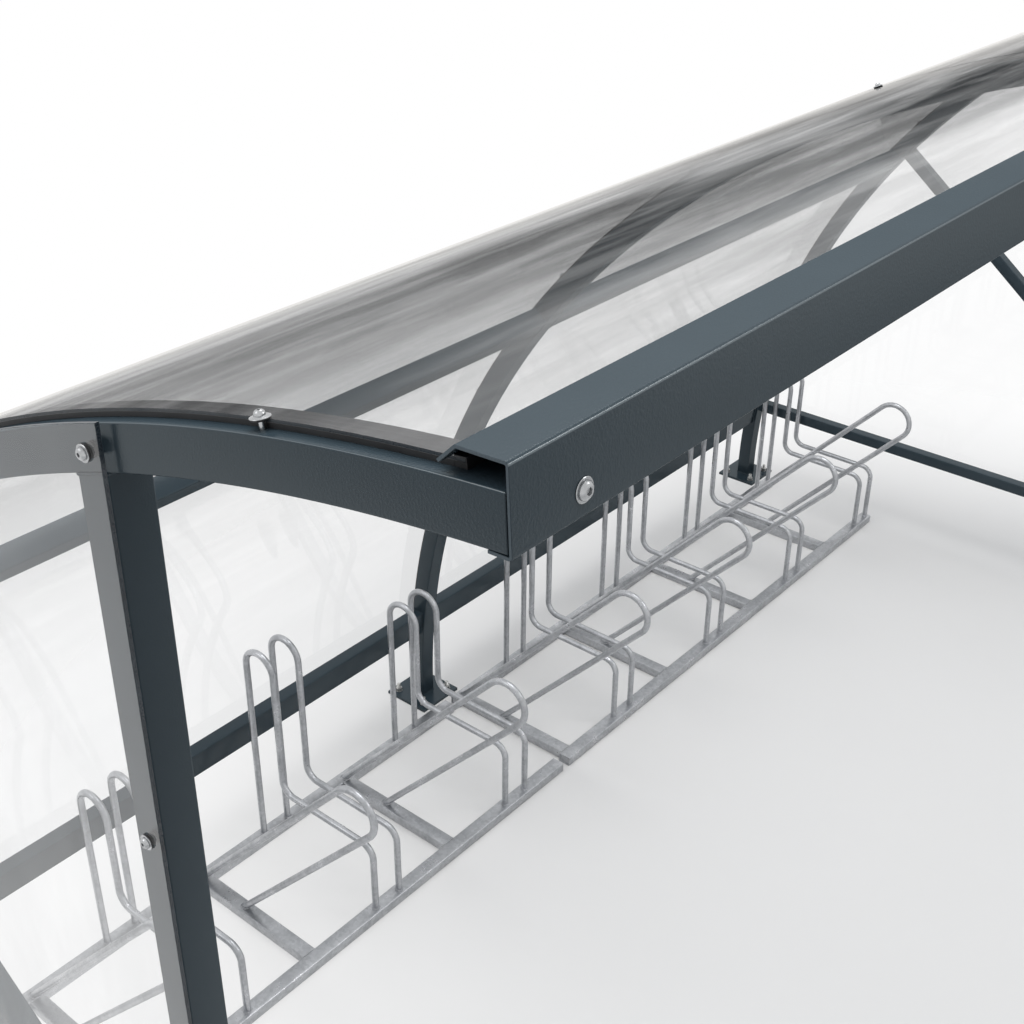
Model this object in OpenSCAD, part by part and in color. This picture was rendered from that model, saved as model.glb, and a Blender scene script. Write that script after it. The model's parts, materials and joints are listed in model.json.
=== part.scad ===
// Quarter-round bike shelter: three bent frames, clear bent roof sheets, gable panels and
// hoop racks in two bays. Millimetres, +Z up, front towards -Y, X along the length.

/* [Bays] */
// Centre to centre of the frames
bay_pitch = 2000; // [1200:50:3000]

/* [Arch frames] */
// Outer radius of the bent frame
arch_radius = 2297; // [1800:1:2800]
// Depth of the frame tube, measured to the centre of the bend
arch_depth = 50; // [30:1:80]
// Width of the frame tube along the length
arch_width = 50; // [30:1:80]
// Height of the bend's centre over the ground
arch_centre_height = 50; // [20:1:400]
// Angle from straight up at which the frame's outer edge ends at the front
front_angle = 5.75; // [2:0.05:12]
// Tilt of the frame's cut end and of the eave from upright
end_tilt = 3.2; // [1:0.1:6]

/* [Feet] */
// Side of the square foot plates
foot_size = 160; // [120:1:220]
// Thickness of the foot plates
foot_thickness = 10; // [6:1:16]
// Spacing of the anchor holes, both ways
anchor_spacing = 110; // [80:1:160]
// Radius of the anchor holes
anchor_hole_radius = 6.5; // [4:0.5:9]

/* [Gable posts] */
// Post centre, measured towards the rear from the centre of the bend
post_back = 730; // [500:5:1100]
// Side of the square post tube
post_size = 50; // [40:1:80]

/* [Front eave] */
// Height of the folded eave profile
eave_height = 77; // [68:0.5:140]
// How far the profile stands above the frame tube
eave_rise = 23.5; // [18:0.5:40]
// Depth of the top flange
eave_top_flange = 50; // [35:1:80]
// Depth of the bottom flange
eave_bottom_flange = 22.5; // [15:0.5:45]
// Run of the sloping lip towards the rear
lip_run = 17; // [5:0.5:25]
// Thickness of the folded sheet
eave_sheet = 3; // [1.5:0.5:5]
// Outside radius of the bends
eave_bend = 4; // [3:0.5:8]
// Gap between the frame's end and the profile
eave_gap = 1.3; // [0.5:0.1:6]
// Width of the bracket leg that is bolted to the profile
bracket_reach = 60; // [40:1:90]
// Height of the bracket
bracket_height = 40; // [25:1:48]
// Thickness of the bracket
bracket_sheet = 5; // [3:0.5:8]

/* [Rails and braces] */
// Side of the square purlin tube
purlin_size = 50; // [30:1:80]
// Angle of the purlin from straight up
purlin_angle = 52.5; // [35:0.5:70]
// Height of the rear rail's section
rear_rail_height = 80; // [40:1:120]
// Thickness of the rear rail
rear_rail_depth = 40; // [25:1:50]
// Angle of the rear rail from straight up
rear_rail_angle = 83.8; // [78:0.1:86]
// Side of the gable rail and gable brace tubes
side_tube = 40; // [25:1:50]
// Top of the gable rail over the ground
side_rail_top = 353; // [200:1:600]
// Height at which the gable brace meets the post
brace_foot_height = 671; // [450:1:1000]
// Slope of the gable brace in degrees
brace_slope = 38.3; // [25:0.1:50]

/* [Roof sheets] */
// Thickness of the clear roof sheet
roof_sheet = 3; // [2:0.5:8]
// Distance from the frame's end to the sheet's front edge
sheet_setback = 48; // [8:1:60]
// Angle from straight up at which the sheet ends at the rear
sheet_rear_angle = 85.2; // [80:0.1:88]
// Joint between the two sheets over the middle frame
sheet_joint = 6; // [2:1:16]
// How far the gasket and sheet stay in from a gable frame's side
gable_inset = 15; // [4:1:20]
// Thickness of the rubber gasket on the frames
gasket_thickness = 5; // [3:0.5:10]
// Width of the gasket on a gable frame
gasket_width = 30; // [15:1:34]
// Width of the gasket on the middle frame
middle_gasket_width = 40; // [20:1:50]
// Running clearance between rubber, sheet and steel
rubber_gap = 0.2; // [0.1:0.05:0.5]
// Depth of the rubber edge seal round the sheet's front edge
seal_depth = 12; // [10:1:30]
// Thickness of the edge seal in front of and over the sheet
seal_wall = 1; // [0.8:0.1:5]

/* [Gable panels] */
// Thickness of the clear gable panel
panel_sheet = 5; // [3:0.5:10]
// Standoff of the panel from the frame
panel_standoff = 6; // [3:0.5:15]
// How far the panel's front edge passes the post
panel_overhang = 10; // [0:1:30]
// How far the panel stands over the frame's outer edge
panel_rise = 3; // [0:0.5:15]
// From the panel's front edge to its row of fixings
fixing_inset = 23; // [20:1:48]
// Spacing of the panel's fixings
panel_pitch = 470; // [250:5:600]
// Radius of the round spacers behind the panel
spacer_radius = 8; // [5:0.5:15]

/* [Racks] */
// From the frame leg's inner face to the centre line of the rack's rear rail
rack_rear_gap = 107; // [60:1:200]
// Distance between the rack's rails
rack_depth = 444; // [350:1:480]
// Width of the rack's rails
rack_rail_width = 40; // [25:1:60]
// Height of the rack's rails
rack_rail_height = 30; // [15:1:50]
// Gap between the two racks at the middle frame
rack_joint = 30; // [5:1:80]
// Clearance between the racks and the gable frames
rack_end_gap = 8; // [5:1:80]
// From the right rack's end to the middle of its last wheel place
place_end = 55; // [54:1:120]
// Shift of the wheel places towards the right
place_shift = 45; // [-50:1:50]
// Diameter of the hoop tube
hoop_tube = 18; // [12:1:25]
// Clear width of a wheel slot
slot_width = 70; // [45:1:80]
// Depth of the tall turn at the rear, to the tube's centre lines
turn_depth = 104; // [60:1:130]
// Height of a high hoop
high_hoop_height = 680; // [500:5:800]
// Height of a low hoop
low_hoop_height = 560; // [400:5:700]
// Height of the centre line of the level run in front of the tall turn
run_height = 237; // [140:1:300]
// Bend radius at both ends of the level run
run_bend = 40; // [25:1:60]
// Height of a leaning loop
loop_height = 689; // [500:1:800]
// Slope of the leaning loops from level
loop_slope = 47.5; // [40:0.5:60]
// Distance between a loop's two tubes, centre to centre
loop_width = 126; // [80:1:160]
// How far the loop's upper foot stays in front of the rear rail's middle
loop_inset = 6; // [0:1:8]

/* [Hidden] */
$fn = 96;
e = 0.01;

steel = [0.25, 0.28, 0.30];
zinc = [0.66, 0.67, 0.68];
clear = [0.80, 0.83, 0.85, 0.4];
black = [0.05, 0.05, 0.05];

// Plan sizes
gable_x = bay_pitch;
arch_side = gable_x + arch_width / 2;
leg_y = arch_radius - arch_depth / 2;
inner_radius = arch_radius - arch_depth;
post_front = post_back - post_size / 2;
post_rear = post_back + post_size / 2;

panel_front = post_front - panel_overhang;
fixing_back = panel_front + fixing_inset;

// The front of the eave's lower bend
eave_bottom = eave_rise - eave_height;
front_y = arch_radius * sin(front_angle) + (eave_bottom + eave_bend) * sin(end_tilt)
    - (eave_gap + eave_sheet - eave_bend) * cos(end_tilt) - eave_bend;
rear_y = leg_y + foot_size / 2;
y_mid = (front_y + rear_y) / 2;

// Radii of the roof's layers
gasket_in = arch_radius + rubber_gap;
gasket_out = gasket_in + gasket_thickness;
sheet_in = gasket_out + rubber_gap;
sheet_out = sheet_in + roof_sheet;
sheet_front_angle = front_angle + sheet_setback / arch_radius * 180 / PI;
seal_front_angle = sheet_front_angle - (seal_wall + rubber_gap) / arch_radius * 180 / PI;
seal_rear_angle = seal_front_angle + seal_depth / arch_radius * 180 / PI;
seal_gap_angle = rubber_gap / arch_radius * 180 / PI;
sheet_outer_x = arch_side - gable_inset;

// Racks
rack_rear = inner_radius - rack_rear_gap;
rack_front = rack_rear - rack_depth;
rack_inner_x = rack_joint / 2;
rack_outer_x = gable_x - arch_width / 2 - rack_end_gap;
place_pitch = (rack_outer_x - place_end - place_shift) / 3.5;
hoop_radius = hoop_tube / 2;
tube_offset = slot_width / 2 + hoop_radius;
tall_leg = rack_rear - turn_depth;
loop_bend = loop_width / 2;
loop_run = (loop_height - hoop_radius - loop_bend - rack_rail_height + loop_bend * cos(loop_slope))
    / sin(loop_slope);

// Geometry is drawn with x as the distance behind the bend's centre and y as the height,
// then stood up so that x runs to the rear, y runs up and z runs along the length.
module stand(x = 0) {
    translate([x, -y_mid, 0]) rotate([90, 0, 90]) children();
}

// The same at the bend's centre
module stand_on_centre(x = 0) {
    stand(x) translate([0, arch_centre_height, 0]) children();
}

// A ring sector between two radii and two angles from straight up, from z1 to z2
module ring(r1, r2, from, to, z1, z2) {
    rotate([0, 0, 90 - to])
        rotate_extrude(angle = to - from, $fn = 180)
            translate([r1, z1]) square([r2 - r1, z2 - z1]);
}

// Axes at a point of the bend: x runs outwards, y runs towards the front
module at_angle(a) {
    rotate([0, 0, 90 - a]) children();
}

// Axes at the outer edge of the frame's front end, level with its cut: x outwards, y forwards
module at_end() {
    translate([arch_radius * sin(front_angle), arch_radius * cos(front_angle)])
        rotate([0, 0, 90 - end_tilt]) children();
}

// Frames

module arch(x) {
    color(steel) {
        stand_on_centre(x) difference() {
            ring(inner_radius, arch_radius, front_angle - 1, 90, -arch_width / 2, arch_width / 2);
            at_end() translate([-2 * arch_depth, 0, -arch_width])
                cube([3 * arch_depth, 2 * arch_depth, 2 * arch_width]);
        }
        translate([x - arch_width / 2, inner_radius - y_mid, foot_thickness])
            cube([arch_width, arch_depth, arch_centre_height - foot_thickness]);
    }
}

module foot(x, y) {
    color(steel) translate([x, y - y_mid, 0]) difference() {
        translate([-foot_size / 2, -foot_size / 2, 0]) cube([foot_size, foot_size, foot_thickness]);
        for (i = [-1, 1], j = [-1, 1])
            translate([i * anchor_spacing / 2, j * anchor_spacing / 2, -1])
                cylinder(h = foot_thickness + 2, r = anchor_hole_radius);
    }
}

module front_post(x) {
    color(steel) stand(x) intersection() {
        translate([post_front, foot_thickness, -post_size / 2])
            cube([post_size, arch_radius + arch_centre_height, post_size]);
        translate([0, arch_centre_height, -post_size])
            cylinder(h = 2 * post_size, r = inner_radius, $fn = 180);
    }
}

// Front eave

function turn(a, b) = atan2(a[0] * b[1] - a[1] * b[0], a[0] * b[0] + a[1] * b[1]);
function unit(v) = v / norm(v);
function leg_cut(p, i, r) = r[i] * tan(abs(turn(p[i] - p[i - 1], p[i + 1] - p[i])) / 2);
function leg_start(p, r, i) = i == 0 ? p[0] : p[i] + unit(p[i + 1] - p[i]) * leg_cut(p, i, r);
function leg_end(p, r, i) = i == len(p) - 2 ? p[i + 1]
    : p[i + 1] - unit(p[i + 1] - p[i]) * leg_cut(p, i + 1, r);
function bend_sign(p, i) = turn(p[i] - p[i - 1], p[i + 1] - p[i]) > 0 ? 1 : -1;
function side_of(d) = [-d[1], d[0]];
function bend_centre(p, r, i) = p[i] - unit(p[i] - p[i - 1]) * leg_cut(p, i, r)
    + side_of(unit(p[i] - p[i - 1])) * r[i] * bend_sign(p, i);

// A strip of sheet metal folded along a path, as a flat section
module folded_section(p, r, t) {
    for (i = [0:len(p) - 2]) {
        a = leg_start(p, r, i);
        b = leg_end(p, r, i);
        translate(a) rotate(atan2(b[1] - a[1], b[0] - a[0]))
            translate([-e, -t / 2]) square([norm(b - a) + 2 * e, t]);
    }
    for (i = [1:len(p) - 2]) {
        c = bend_centre(p, r, i);
        s = leg_end(p, r, i - 1) - c;
        f = leg_start(p, r, i) - c;
        w = 4 * r[i];
        translate(c) intersection() {
            difference() {
                circle(r = r[i] + t / 2, $fn = 48);
                circle(r = r[i] - t / 2, $fn = 48);
            }
            polygon([[0, 0], unit(s) * w, unit(s + f) * w * 1.5, unit(f) * w]);
        }
    }
}

// Height over the frame's end of a point that has a given radius and lies y forwards
function over_end(r, y) = sqrt(pow(r, 2) - pow(arch_radius * sin(front_angle - end_tilt) - y, 2))
    - arch_radius * cos(front_angle - end_tilt);

// The profile follows its middle line, drawn in the axes at the frame's end
module front_eave() {
    t = eave_sheet;
    face = eave_gap + t / 2;
    high = eave_rise - t / 2;
    low = eave_bottom + t / 2;
    fold = face - eave_top_flange + t;
    tip = fold - lip_run;
    line = [[low, face - eave_bottom_flange + t / 2], [low, face], [high, face], [high, fold],
        [over_end(sheet_out + rubber_gap, tip) + t / 2, tip]];
    bends = [0, eave_bend - t / 2, eave_bend - t / 2, eave_bend - t / 2, 0];
    color(steel) stand_on_centre() at_end()
        translate([0, 0, -arch_side]) linear_extrude(2 * arch_side) folded_section(line, bends, t);
}

// An angle bracket at the inner side of a frame's end, bolted to the eave
module eave_bracket(x, way) {
    mid = -arch_depth / 2;
    stand_on_centre(x) at_end() {
        z = arch_width / 2;
        mirror([0, 0, way < 0 ? 1 : 0]) {
            translate([mid - bracket_height / 2, eave_gap - bracket_sheet, z])
                cube([bracket_height, bracket_sheet, bracket_reach]);
            translate([mid - bracket_height / 2, eave_gap - bracket_reach, z])
                cube([bracket_height, bracket_reach, bracket_sheet]);
        }
    }
}

module eave_brackets() {
    color(steel) {
        eave_bracket(-gable_x, 1);
        eave_bracket(0, -1);
        eave_bracket(0, 1);
        eave_bracket(gable_x, -1);
    }
}

// Rails and braces. A bay runs from the inner face of one frame to the next.

module bay_tube(side, angle, depth, height) {
    z1 = side < 0 ? arch_width / 2 - gable_x : arch_width / 2;
    color(steel) stand_on_centre() at_angle(angle)
        translate([arch_radius - depth, -height / 2, z1])
            cube([depth, height, bay_pitch - arch_width]);
}

module side_rail(x) {
    color(steel) stand(x) intersection() {
        translate([post_rear, side_rail_top - side_tube, -side_tube / 2])
            cube([arch_radius, side_tube, side_tube]);
        translate([0, arch_centre_height, -side_tube])
            cylinder(h = 2 * side_tube, r = inner_radius, $fn = 180);
    }
}

module side_brace(x) {
    color(steel) stand(x) intersection() {
        translate([post_rear, brace_foot_height, 0]) rotate([0, 0, brace_slope])
            translate([-post_size, -side_tube / 2, -side_tube / 2])
                cube([arch_radius, side_tube, side_tube]);
        translate([post_rear, 0, -side_tube]) cube([arch_radius, 2 * arch_radius, 2 * side_tube]);
        translate([0, arch_centre_height, -side_tube])
            cylinder(h = 2 * side_tube, r = inner_radius, $fn = 180);
    }
}

// Roof

module roof_sheet(side) {
    z1 = side < 0 ? -sheet_outer_x : sheet_joint / 2;
    z2 = side < 0 ? -sheet_joint / 2 : sheet_outer_x;
    color(clear) stand_on_centre()
        ring(sheet_in, sheet_out, sheet_front_angle, sheet_rear_angle, z1, z2);
}

module gasket(z1, z2) {
    color(black) stand_on_centre()
        ring(gasket_in, gasket_out, seal_rear_angle + seal_gap_angle, sheet_rear_angle, z1, z2);
}

// A rubber channel pushed over the sheet's front edge
module front_seal(side) {
    z1 = side < 0 ? -sheet_outer_x : sheet_joint / 2;
    z2 = side < 0 ? -sheet_joint / 2 : sheet_outer_x;
    color(black) stand_on_centre() difference() {
        ring(gasket_in, sheet_out + rubber_gap + seal_wall, seal_front_angle, seal_rear_angle, z1, z2);
        ring(sheet_in - rubber_gap, sheet_out + rubber_gap, sheet_front_angle - seal_gap_angle,
            seal_rear_angle + 1, z1 - 1, z2 + 1);
    }
}

// Gable panels

module side_panel(way) {
    z1 = way < 0 ? -arch_side - panel_standoff - panel_sheet : arch_side + panel_standoff;
    color(clear) stand() translate([0, 0, z1]) linear_extrude(panel_sheet) intersection() {
        translate([0, arch_centre_height]) circle(r = arch_radius + panel_rise, $fn = 180);
        translate([panel_front, side_rail_top - side_tube])
            square([arch_radius, arch_radius]);
    }
}

first_fixing = atan2(fixing_back, sqrt(leg_y * leg_y - fixing_back * fixing_back));
fixing_step = panel_pitch / leg_y * 180 / PI;
top_fixing = arch_centre_height + leg_y * cos(first_fixing);
low_fixing = side_rail_top - side_tube / 2;

module panel_spacers(way) {
    z1 = way < 0 ? -arch_side - panel_standoff : arch_side;
    z2 = way < 0 ? -gable_x - side_tube / 2 : gable_x + side_tube / 2;
    rail_gap = (arch_width - side_tube) / 2;
    color(black) stand() {
        for (a = [first_fixing:fixing_step:rear_rail_angle])
            translate([leg_y * sin(a), arch_centre_height + leg_y * cos(a), z1])
                cylinder(h = panel_standoff, r = spacer_radius, $fn = 32);
        for (h = [top_fixing - panel_pitch:-panel_pitch:low_fixing + panel_pitch / 2])
            translate([fixing_back, h, z1])
                cylinder(h = panel_standoff, r = spacer_radius, $fn = 32);
        translate([fixing_back, low_fixing, z1])
            cylinder(h = panel_standoff, r = spacer_radius, $fn = 32);
        for (d = [fixing_back + panel_pitch:panel_pitch:inner_radius - side_tube])
            translate([d, low_fixing, way < 0 ? z1 : z2])
                cylinder(h = panel_standoff + rail_gap, r = spacer_radius, $fn = 32);
    }
}

// Racks

module rack_rail(side, y) {
    x1 = side < 0 ? -rack_outer_x : rack_inner_x;
    color(zinc) translate([x1, y - y_mid - rack_rail_width / 2, 0])
        cube([rack_outer_x - rack_inner_x, rack_rail_width, rack_rail_height]);
}

// Wheel places are counted from the left, four to a rack
function place_x(k) = (k - 3.5) * place_pitch + place_shift;

// A loop and the cross bar under it stand midway between two wheel places
function loop_x(k) = (place_x(k) + place_x(k + 1)) / 2;

module rack_cross_bars(side) {
    color(zinc) for (k = side < 0 ? [0:2] : [3:6])
        translate([loop_x(k) - rack_rail_width / 2, rack_front + rack_rail_width / 2 - y_mid, 0])
            cube([rack_rail_width, rack_depth - rack_rail_width, rack_rail_height]);
}

module upright(d, from, to) {
    translate([d, from, 0]) rotate([-90, 0, 0]) cylinder(h = to - from, r = hoop_radius, $fn = 24);
}

module level(h, from, to) {
    translate([from, h, 0]) rotate([0, 90, 0]) cylinder(h = to - from, r = hoop_radius, $fn = 24);
}

// A bend round a centre, from a quarter turn counted from the rear, for one or two quarters
module bend(d, h, r, quarter, quarters) {
    translate([d, h, 0]) rotate([0, 0, 90 * quarter])
        rotate_extrude(angle = 90 * quarters, $fn = 48)
            translate([r, 0]) circle(r = hoop_radius, $fn = 24);
}

// One tube: up from the rear rail, over the tall turn, down, level to the front and down again
module hoop(x, height) {
    turn_radius = turn_depth / 2;
    turn_height = height - hoop_radius - turn_radius;
    stand(x) {
        upright(rack_rear, rack_rail_height, turn_height);
        bend(rack_rear - turn_radius, turn_height, turn_radius, 0, 2);
        upright(tall_leg, run_height + run_bend, turn_height);
        bend(tall_leg - run_bend, run_height + run_bend, run_bend, 3, 1);
        level(run_height, rack_front + run_bend, tall_leg - run_bend);
        bend(rack_front + run_bend, run_height - run_bend, run_bend, 1, 1);
        upright(rack_front, rack_rail_height, run_height - run_bend);
    }
}

module hoops(first, height) {
    color(zinc) for (k = [first, first + 2], i = [-1, 1]) hoop(place_x(k) + i * tube_offset, height);
}

// A narrow loop that leans towards the front, its feet on the rear rail and the cross bar
module leaning_loop(x) {
    stand(x) intersection() {
        translate([rack_rear - loop_inset, rack_rail_height, 0]) rotate([0, 0, 180 - loop_slope]) {
            level(0, -hoop_tube, loop_run);
            level(loop_width, 0, loop_run);
            bend(loop_run, loop_bend, loop_bend, 3, 2);
        }
        translate([0, rack_rail_height, -hoop_tube])
            cube([arch_radius, arch_radius, 2 * hoop_tube]);
    }
}

module leaning_loops(side) {
    color(zinc) for (k = side < 0 ? [0:2] : [3:6]) leaning_loop(loop_x(k));
}

arch(-gable_x);  // arch_left
arch(0);  // arch_middle
arch(gable_x);  // arch_right
front_post(-gable_x);  // front_post_left
front_post(gable_x);  // front_post_right
foot(-gable_x, leg_y);  // rear_foot_left
foot(0, leg_y);  // rear_foot_middle
foot(gable_x, leg_y);  // rear_foot_right
foot(-gable_x, post_back);  // post_foot_left
foot(gable_x, post_back);  // post_foot_right
eave_brackets();
front_eave();
bay_tube(-1, purlin_angle, purlin_size, purlin_size);  // purlin_left
bay_tube(1, purlin_angle, purlin_size, purlin_size);  // purlin_right
bay_tube(-1, rear_rail_angle, rear_rail_depth, rear_rail_height);  // lower_rail_left
bay_tube(1, rear_rail_angle, rear_rail_depth, rear_rail_height);  // lower_rail_right
side_rail(-gable_x);  // side_rail_left
side_rail(gable_x);  // side_rail_right
side_brace(-gable_x);  // side_brace_left
side_brace(gable_x);  // side_brace_right
roof_sheet(-1);  // roof_sheet_left
roof_sheet(1);  // roof_sheet_right
gasket(-sheet_outer_x, gasket_width - sheet_outer_x);  // gasket_left
gasket(-middle_gasket_width / 2, middle_gasket_width / 2);  // gasket_middle
gasket(sheet_outer_x - gasket_width, sheet_outer_x);  // gasket_right
front_seal(-1);  // front_seal_left
front_seal(1);  // front_seal_right
side_panel(-1);  // side_panel_left
side_panel(1);  // side_panel_right
panel_spacers(-1);  // panel_spacers_left
panel_spacers(1);  // panel_spacers_right
rack_rail(-1, rack_front);  // rack_front_rail_left
rack_rail(-1, rack_rear);  // rack_rear_rail_left
rack_cross_bars(-1);  // rack_cross_bars_left
hoops(0, high_hoop_height);  // high_hoops_left
hoops(1, low_hoop_height);  // low_hoops_left
leaning_loops(-1);  // leaning_loops_left
rack_rail(1, rack_front);  // rack_front_rail_right
rack_rail(1, rack_rear);  // rack_rear_rail_right
rack_cross_bars(1);  // rack_cross_bars_right
hoops(4, high_hoop_height);  // high_hoops_right
hoops(5, low_hoop_height);  // low_hoops_right
leaning_loops(1);  // leaning_loops_right
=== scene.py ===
"""Looks of a quarter-round bike shelter: bent frames, folded eave, clear sheets and hoop racks.

Everything is in metres in the shared frame: X along the shelter, the open front towards -Y,
+Z up. Side shapes are drawn as (back, height), where back counts from the bend's centre.
"""
import json
import logging
import math
from dataclasses import dataclass
from enum import Enum
from functools import cache
from typing import ClassVar, Sequence

import bpy
import bmesh
import numpy as np
from mathutils import Matrix, Vector

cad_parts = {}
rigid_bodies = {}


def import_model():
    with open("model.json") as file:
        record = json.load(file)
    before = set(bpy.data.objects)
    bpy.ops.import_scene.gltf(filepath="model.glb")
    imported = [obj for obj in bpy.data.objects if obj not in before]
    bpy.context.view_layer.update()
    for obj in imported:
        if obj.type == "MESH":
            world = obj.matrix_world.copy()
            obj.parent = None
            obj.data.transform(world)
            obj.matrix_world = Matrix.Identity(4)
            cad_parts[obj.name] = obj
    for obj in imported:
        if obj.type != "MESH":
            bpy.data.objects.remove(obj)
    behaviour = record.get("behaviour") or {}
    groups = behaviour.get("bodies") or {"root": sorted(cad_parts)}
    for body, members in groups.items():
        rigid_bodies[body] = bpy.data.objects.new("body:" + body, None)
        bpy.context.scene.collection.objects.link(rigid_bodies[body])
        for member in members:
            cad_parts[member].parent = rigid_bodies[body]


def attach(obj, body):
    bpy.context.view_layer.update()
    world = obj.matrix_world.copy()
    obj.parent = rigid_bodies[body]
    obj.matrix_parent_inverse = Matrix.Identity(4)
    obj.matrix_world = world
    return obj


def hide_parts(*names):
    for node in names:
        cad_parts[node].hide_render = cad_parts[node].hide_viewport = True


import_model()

Points = np.ndarray
Pair = tuple[float, float]
Triple = tuple[float, float, float]
Line = tuple[Points, Points]
Solids = list[tuple[Points, int]]
Socket = bpy.types.NodeSocket

LOG = logging.getLogger("shelter")
SIDES = {"left": -1, "right": 1}
ORIGIN_BACK = 1.2875346
"""How far the frame's origin lies behind the bend's centre."""
END_EASE = 0.0006
"""Chamfer at the ends of tubes and bars."""
OVERLAP = 0.0005
"""How far a cut tube reaches into the one that it is welded to."""
WELD_STEP = 0.004
"""Length of one step of a weld bead along a straight side."""
FOOT_WELD, TUBE_WELD, FINE_WELD = 0.0022, 0.0018, 0.0017
"""Radii of the weld beads."""
WELD_RISE, FOOT_WELD_RISE = 0.0008, 0.0010
"""How far the middle of a bead stands off the face."""


# ---------------------------------------------------------------- finishes


class NodeSheet:
    """The nodes of a material or of the surroundings, with short helpers to add them."""

    def __init__(self, owner: bpy.types.Material | bpy.types.World) -> None:
        """Empties the owner's nodes and adds the object coordinates."""
        owner.use_nodes = True
        self.tree = owner.node_tree
        self.tree.nodes.clear()
        self.end = "World" if isinstance(owner, bpy.types.World) else "Material"
        self.spot = self.node("TexCoord", out="Object")

    def node(self, kind: str, inputs: dict | None = None, out: int | str = 0,
             **props: object) -> Socket:
        """Adds a node.

        Args:
            kind: The node's type after "ShaderNode".
            inputs: Values or sockets for its inputs, by name or number. A colour has three
                values.
            out: The output to return, by name or number.
            **props: Properties of the node.

        Returns:
            The output.
        """
        made = self.tree.nodes.new("ShaderNode" + kind)
        for key, value in props.items():
            setattr(made, key, value)
        for key, value in (inputs or {}).items():
            socket = made.inputs[key]
            if isinstance(value, Socket):
                self.tree.links.new(value, socket)
            else:
                socket.default_value = (*value, 1.0) if socket.type == "RGBA" else value
        return made.outputs[out]

    def noise(self, scale: float, detail: float = 2.0, roughness: float = 0.5,
              vector: Socket | None = None, distortion: float = 0.0) -> Socket:
        """Returns a noise of so many features a metre, in object coordinates by default."""
        return self.node("TexNoise", {"Vector": self.spot if vector is None else vector,
                                      "Scale": scale, "Detail": detail,
                                      "Roughness": roughness, "Distortion": distortion})

    def span(self, value: Socket, low: Socket | float = 0.0, high: Socket | float = 1.0,
             start: float = 0.3, end: float = 0.7, smooth: bool = False) -> Socket:
        """Stretches a value from start..end to low..high and holds it level beyond.

        Args:
            value: The socket to stretch.
            low: Result at start.
            high: Result at end.
            start: Value that gives low.
            end: Value that gives high.
            smooth: Whether the result eases in and out.

        Returns:
            The stretched socket.
        """
        return self.node("MapRange", {"Value": value, "From Min": start, "From Max": end,
                                      "To Min": low, "To Max": high},
                         interpolation_type="SMOOTHSTEP" if smooth else "LINEAR")

    def calc(self, operation: str, a: Socket | float, b: Socket | float) -> Socket:
        """Returns the result of a reckoning with two values."""
        return self.node("Math", {0: a, 1: b}, operation=operation)

    def mix(self, factor: Socket | float, a: Socket | Triple, b: Socket | Triple) -> Socket:
        """Returns the mix of two colours by a factor."""
        return self.node("Mix", {0: factor, 6: a, 7: b}, 2, data_type="RGBA")

    def blend(self, factor: Socket, a: Socket, b: Socket) -> Socket:
        """Returns the mix of two shaders by a factor."""
        return self.node("MixShader", {0: factor, 1: a, 2: b})

    def bump(self, height: Socket, strength: Socket | float, distance: float,
             under: Socket | None = None) -> Socket:
        """Returns the normal of a bump, its full step in metres, over another one if given."""
        inputs = {"Height": height, "Strength": strength, "Distance": distance}
        return self.node("Bump", inputs | ({} if under is None else {"Normal": under}))

    def stretch(self, scale: Triple, shift: Triple = (0.0, 0.0, 0.0)) -> Socket:
        """Returns object coordinates, scaled and then shifted."""
        return self.node("Mapping", {"Vector": self.spot, "Location": shift, "Scale": scale})

    def axis(self, number: int) -> Socket:
        """Returns one of the object coordinates."""
        return self.node("SeparateXYZ", {0: self.spot}, number)

    def length(self, vector: Socket) -> Socket:
        """Returns a vector's length."""
        return self.node("VectorMath", {0: vector}, "Value", operation="LENGTH")

    def seen(self) -> Socket:
        """Returns 1 for rays of the camera, of mirrors and through glass, and 0 for the rest."""
        rays = self.node("LightPath").node.outputs
        both = self.calc("MAXIMUM", rays["Is Camera Ray"], rays["Is Glossy Ray"])
        return self.calc("MAXIMUM", both, rays["Is Transmission Ray"])

    def done(self, shader: Socket) -> None:
        """Links the shader to a new output node."""
        end = self.tree.nodes.new("ShaderNodeOutput" + self.end)
        self.tree.links.new(shader, end.inputs["Surface"])


def scaled(color: Triple, factor: float, plus: float = 0.0) -> Triple:
    """Returns a colour times a factor, plus a value."""
    return tuple(c * factor + plus for c in color)


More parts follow.
